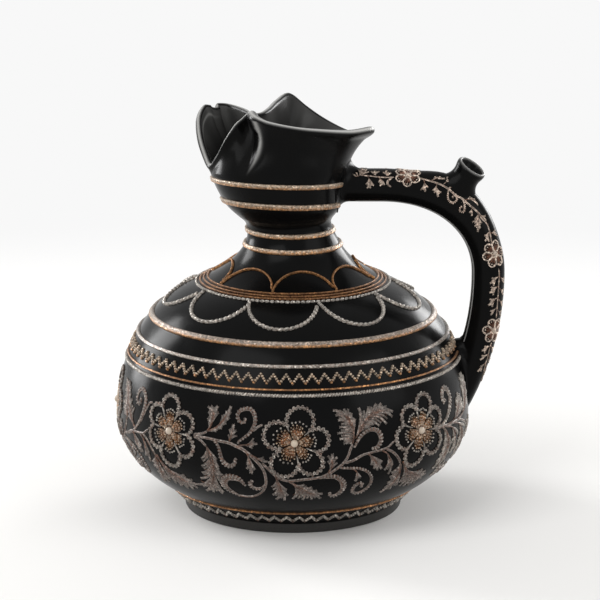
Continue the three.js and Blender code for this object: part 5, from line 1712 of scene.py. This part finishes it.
class JUG_OT_garland(JugOperator):
    """Makes the fine garland of flowers and leaves along both sides of the handle"""

    bl_idname = "jug.garland"
    bl_label = "Handle garland"

    def execute(self, context):
        shape = JugShape()
        near = shape.handle_map()
        fineness = 0.5
        for name, side in (("front", 1), ("back", -1)):
            garland = Relief(lambda flat, side=side: near(flat * (1, side, 1)))
            for rib, lobes in GARLAND_LEAVES:
                leaf(garland, rib, lobes, fineness)
            for path, widths, beaded in GARLAND_STEMS:
                scroll(garland, path, np.array(widths) * 0.75, beaded, fineness)
            for middle_run, middle_across, half in GARLAND_FLOWERS:
                self.flower(garland, np.array([middle_run, middle_across]), half)
            garland.build(f"garland_{name}", "cream")
        return {"FINISHED"}

    def flower(self, garland, middle, half):
        """Six open petals drawn in thin line, with copper veins, round a pearl."""
        turn = np.linspace(0, 2 * math.pi, 13)
        for petal in range(6):
            angle = math.radians(60 * petal + 28)
            out = np.array([math.cos(angle), math.sin(angle)])
            across = np.array([-out[1], out[0]])
            centre = middle + out * half * 0.62
            ring = (centre + out * np.cos(turn)[:, None] * half * 0.38
                    + across * np.sin(turn)[:, None] * half * 0.33)
            garland.ridge(ring, 0.85, 0.45, 0.0, ends=(1, 1), step=0.7)
            for lean in (-0.2, 0.0, 0.2):
                tip = middle + out * half * 0.8 + across * half * lean
                garland.ridge([middle + out * 1.2, tip], [0.9, 0.7], 0.4, 1.3, step=1.5)
                garland.stamp(DOME, [tip], 0.0, (0.9, 0.9, 0.5), 0.0)
        garland.stamp(DOME, [middle], 0.0, (3.8, 3.0, 1.5), -0.6)


class JUG_OT_stage(JugOperator):
    """Makes the pale floor, the soft lights, the world and the camera"""

    bl_idname = "jug.stage"
    bl_label = "Stage"

    def execute(self, context):
        self.floor()
        self.lights()
        self.world(context.scene)
        self.camera(context.scene)
        context.scene.view_settings.view_transform = "Standard"
        return {"FINISHED"}

    def floor(self):
        """Wide flat floor."""
        mesh = bpy.data.meshes.new("studio_floor")
        half = 12.0
        mesh.from_pydata(
            [(-half, -half, 0), (half, -half, 0), (half, half, 0), (-half, half, 0)],
            [], [(0, 1, 2, 3)])
        floor = bpy.data.objects.new("studio_floor", mesh)
        bpy.context.scene.collection.objects.link(floor)
        mesh.materials.append(node_material("matt_studio_floor", self.matt_floor))

    def matt_floor(self, tree):
        """Matt floor that keeps the shadow near the jug and turns into the plain surround."""
        matt = add_node(tree, "ShaderNodeBsdfPrincipled", {
            "Base Color": paint("floor"), "Roughness": 0.9, "Specular IOR Level": 0.1})
        plain = add_node(tree, "ShaderNodeEmission", {"Color": paint("surround")})
        where = add_node(tree, "ShaderNodeTexCoord").outputs["Object"]
        away = add_node(tree, "ShaderNodeVectorMath", {0: where}, operation="LENGTH")
        far = add_node(tree, "ShaderNodeMapRange", {
            "Value": away.outputs["Value"], "From Min": 0.3, "From Max": 0.9},
            interpolation_type="SMOOTHSTEP")
        share = add_node(tree, "ShaderNodeMath", {
            0: far.outputs["Result"], 1: self.seen_or_mirrored(tree)}, operation="MULTIPLY")
        return add_node(tree, "ShaderNodeMixShader", {
            0: share.outputs[0], 1: matt.outputs[0], 2: plain.outputs[0]})

    def seen_or_mirrored(self, tree):
        """1 for rays from the camera and for mirrored ones, 0 for those that light the jug."""
        path = add_node(tree, "ShaderNodeLightPath")
        mirrored = add_node(tree, "ShaderNodeMath", {
            0: path.outputs["Is Glossy Ray"], 1: path.outputs["Is Transmission Ray"]},
            operation="MAXIMUM")
        return add_node(tree, "ShaderNodeMath", {
            0: path.outputs["Is Camera Ray"], 1: mirrored.outputs[0]},
            operation="MAXIMUM").outputs[0]

    def lights(self):
        """Soft panels that are all turned to the jug's middle."""
        # Name, place, width, height and power
        panels = [
            ("key_panel", (-1.1, -1.3, 1.5), 1.5, 1.5, 22),
            ("fill_panel", (1.5, -0.9, 0.9), 1.3, 1.3, 10),
            ("right_rim_panel", (1.15, 1.3, 0.5), 0.9, 0.6, 17),
            ("left_rim_panel", (-1.4, 0.9, 0.55), 0.6, 1.1, 26),
        ]
        for name, place, width, height, power in panels:
            lamp = bpy.data.lights.new(name, "AREA")
            lamp.shape = "RECTANGLE"
            lamp.size = width
            lamp.size_y = height
            lamp.energy = power
            self.aim(name, lamp, Vector(place), Vector((0, 0, 0.13)))

    def world(self, scene):
        """White where it is seen or mirrored, and softer where it lights the jug."""
        world = bpy.data.worlds.new("studio_surround")
        world.use_nodes = True
        tree = world.node_tree
        tree.nodes.clear()
        strength = add_node(tree, "ShaderNodeMapRange", {
            "Value": self.seen_or_mirrored(tree), "To Min": 0.5, "To Max": 1.0})
        surround = add_node(tree, "ShaderNodeBackground", {
            "Color": paint("surround"), "Strength": strength.outputs["Result"]})
        add_node(tree, "ShaderNodeOutputWorld", {"Surface": surround.outputs[0]})
        scene.world = world

    def camera(self, scene):
        """Camera at the photograph's viewing angle."""
        lens = bpy.data.cameras.new("studio_camera")
        lens.lens = 180
        lens.sensor_width = 36
        lens.clip_end = 50
        target = Vector((0.0044, 0, 0.1306))
        distance, elevation = 1.87, math.radians(13.3)
        away = Vector((0, -math.cos(elevation), math.sin(elevation)))
        scene.camera = self.aim("studio_camera", lens, target + distance * away, target)

    def aim(self, name, data, place, target):
        """Adds a lamp or camera at a place, turned to a target."""
        holder = bpy.data.objects.new(name, data)
        holder.location = place
        holder.rotation_euler = (target - place).to_track_quat("-Z", "Y").to_euler()
        bpy.context.scene.collection.objects.link(holder)
        return holder


STEPS = (
    JUG_OT_foot, JUG_OT_belly, JUG_OT_mouth, JUG_OT_handle, JUG_OT_spout, JUG_OT_bands,
    JUG_OT_rope, JUG_OT_zigzags, JUG_OT_scallops, JUG_OT_flowers, JUG_OT_foliage,
    JUG_OT_garland, JUG_OT_stage)


class JUG_PT_panel(bpy.types.Panel):
    """Lists the jug's operators, sizes and colours"""

    bl_idname = "JUG_PT_panel"
    bl_label = "Ceramic jug"
    bl_space_type = "VIEW_3D"
    bl_region_type = "UI"
    bl_category = "Jug"

    def draw(self, context):
        for step in STEPS:
            self.layout.operator(step.bl_idname)
        for group in (context.scene.jug_sizes, context.scene.jug_colours):
            box = self.layout.box()
            for name in group.__annotations__:
                box.prop(group, name)


CLASSES = (JugSizes, JugColours, *STEPS, JUG_PT_panel)


def register():
    """Registers the add-on's classes and the scene's settings."""
    for item in CLASSES:
        bpy.utils.register_class(item)
    bpy.types.Scene.jug_sizes = bpy.props.PointerProperty(type=JugSizes)
    bpy.types.Scene.jug_colours = bpy.props.PointerProperty(type=JugColours)


def unregister():
    """Takes back what register did."""
    del bpy.types.Scene.jug_colours
    del bpy.types.Scene.jug_sizes
    for item in reversed(CLASSES):
        bpy.utils.unregister_class(item)


def main():
    register()
    for step in STEPS:
        group, name = step.bl_idname.split(".")
        getattr(getattr(bpy.ops, group), name)()


if __name__ == "__main__":
    main()
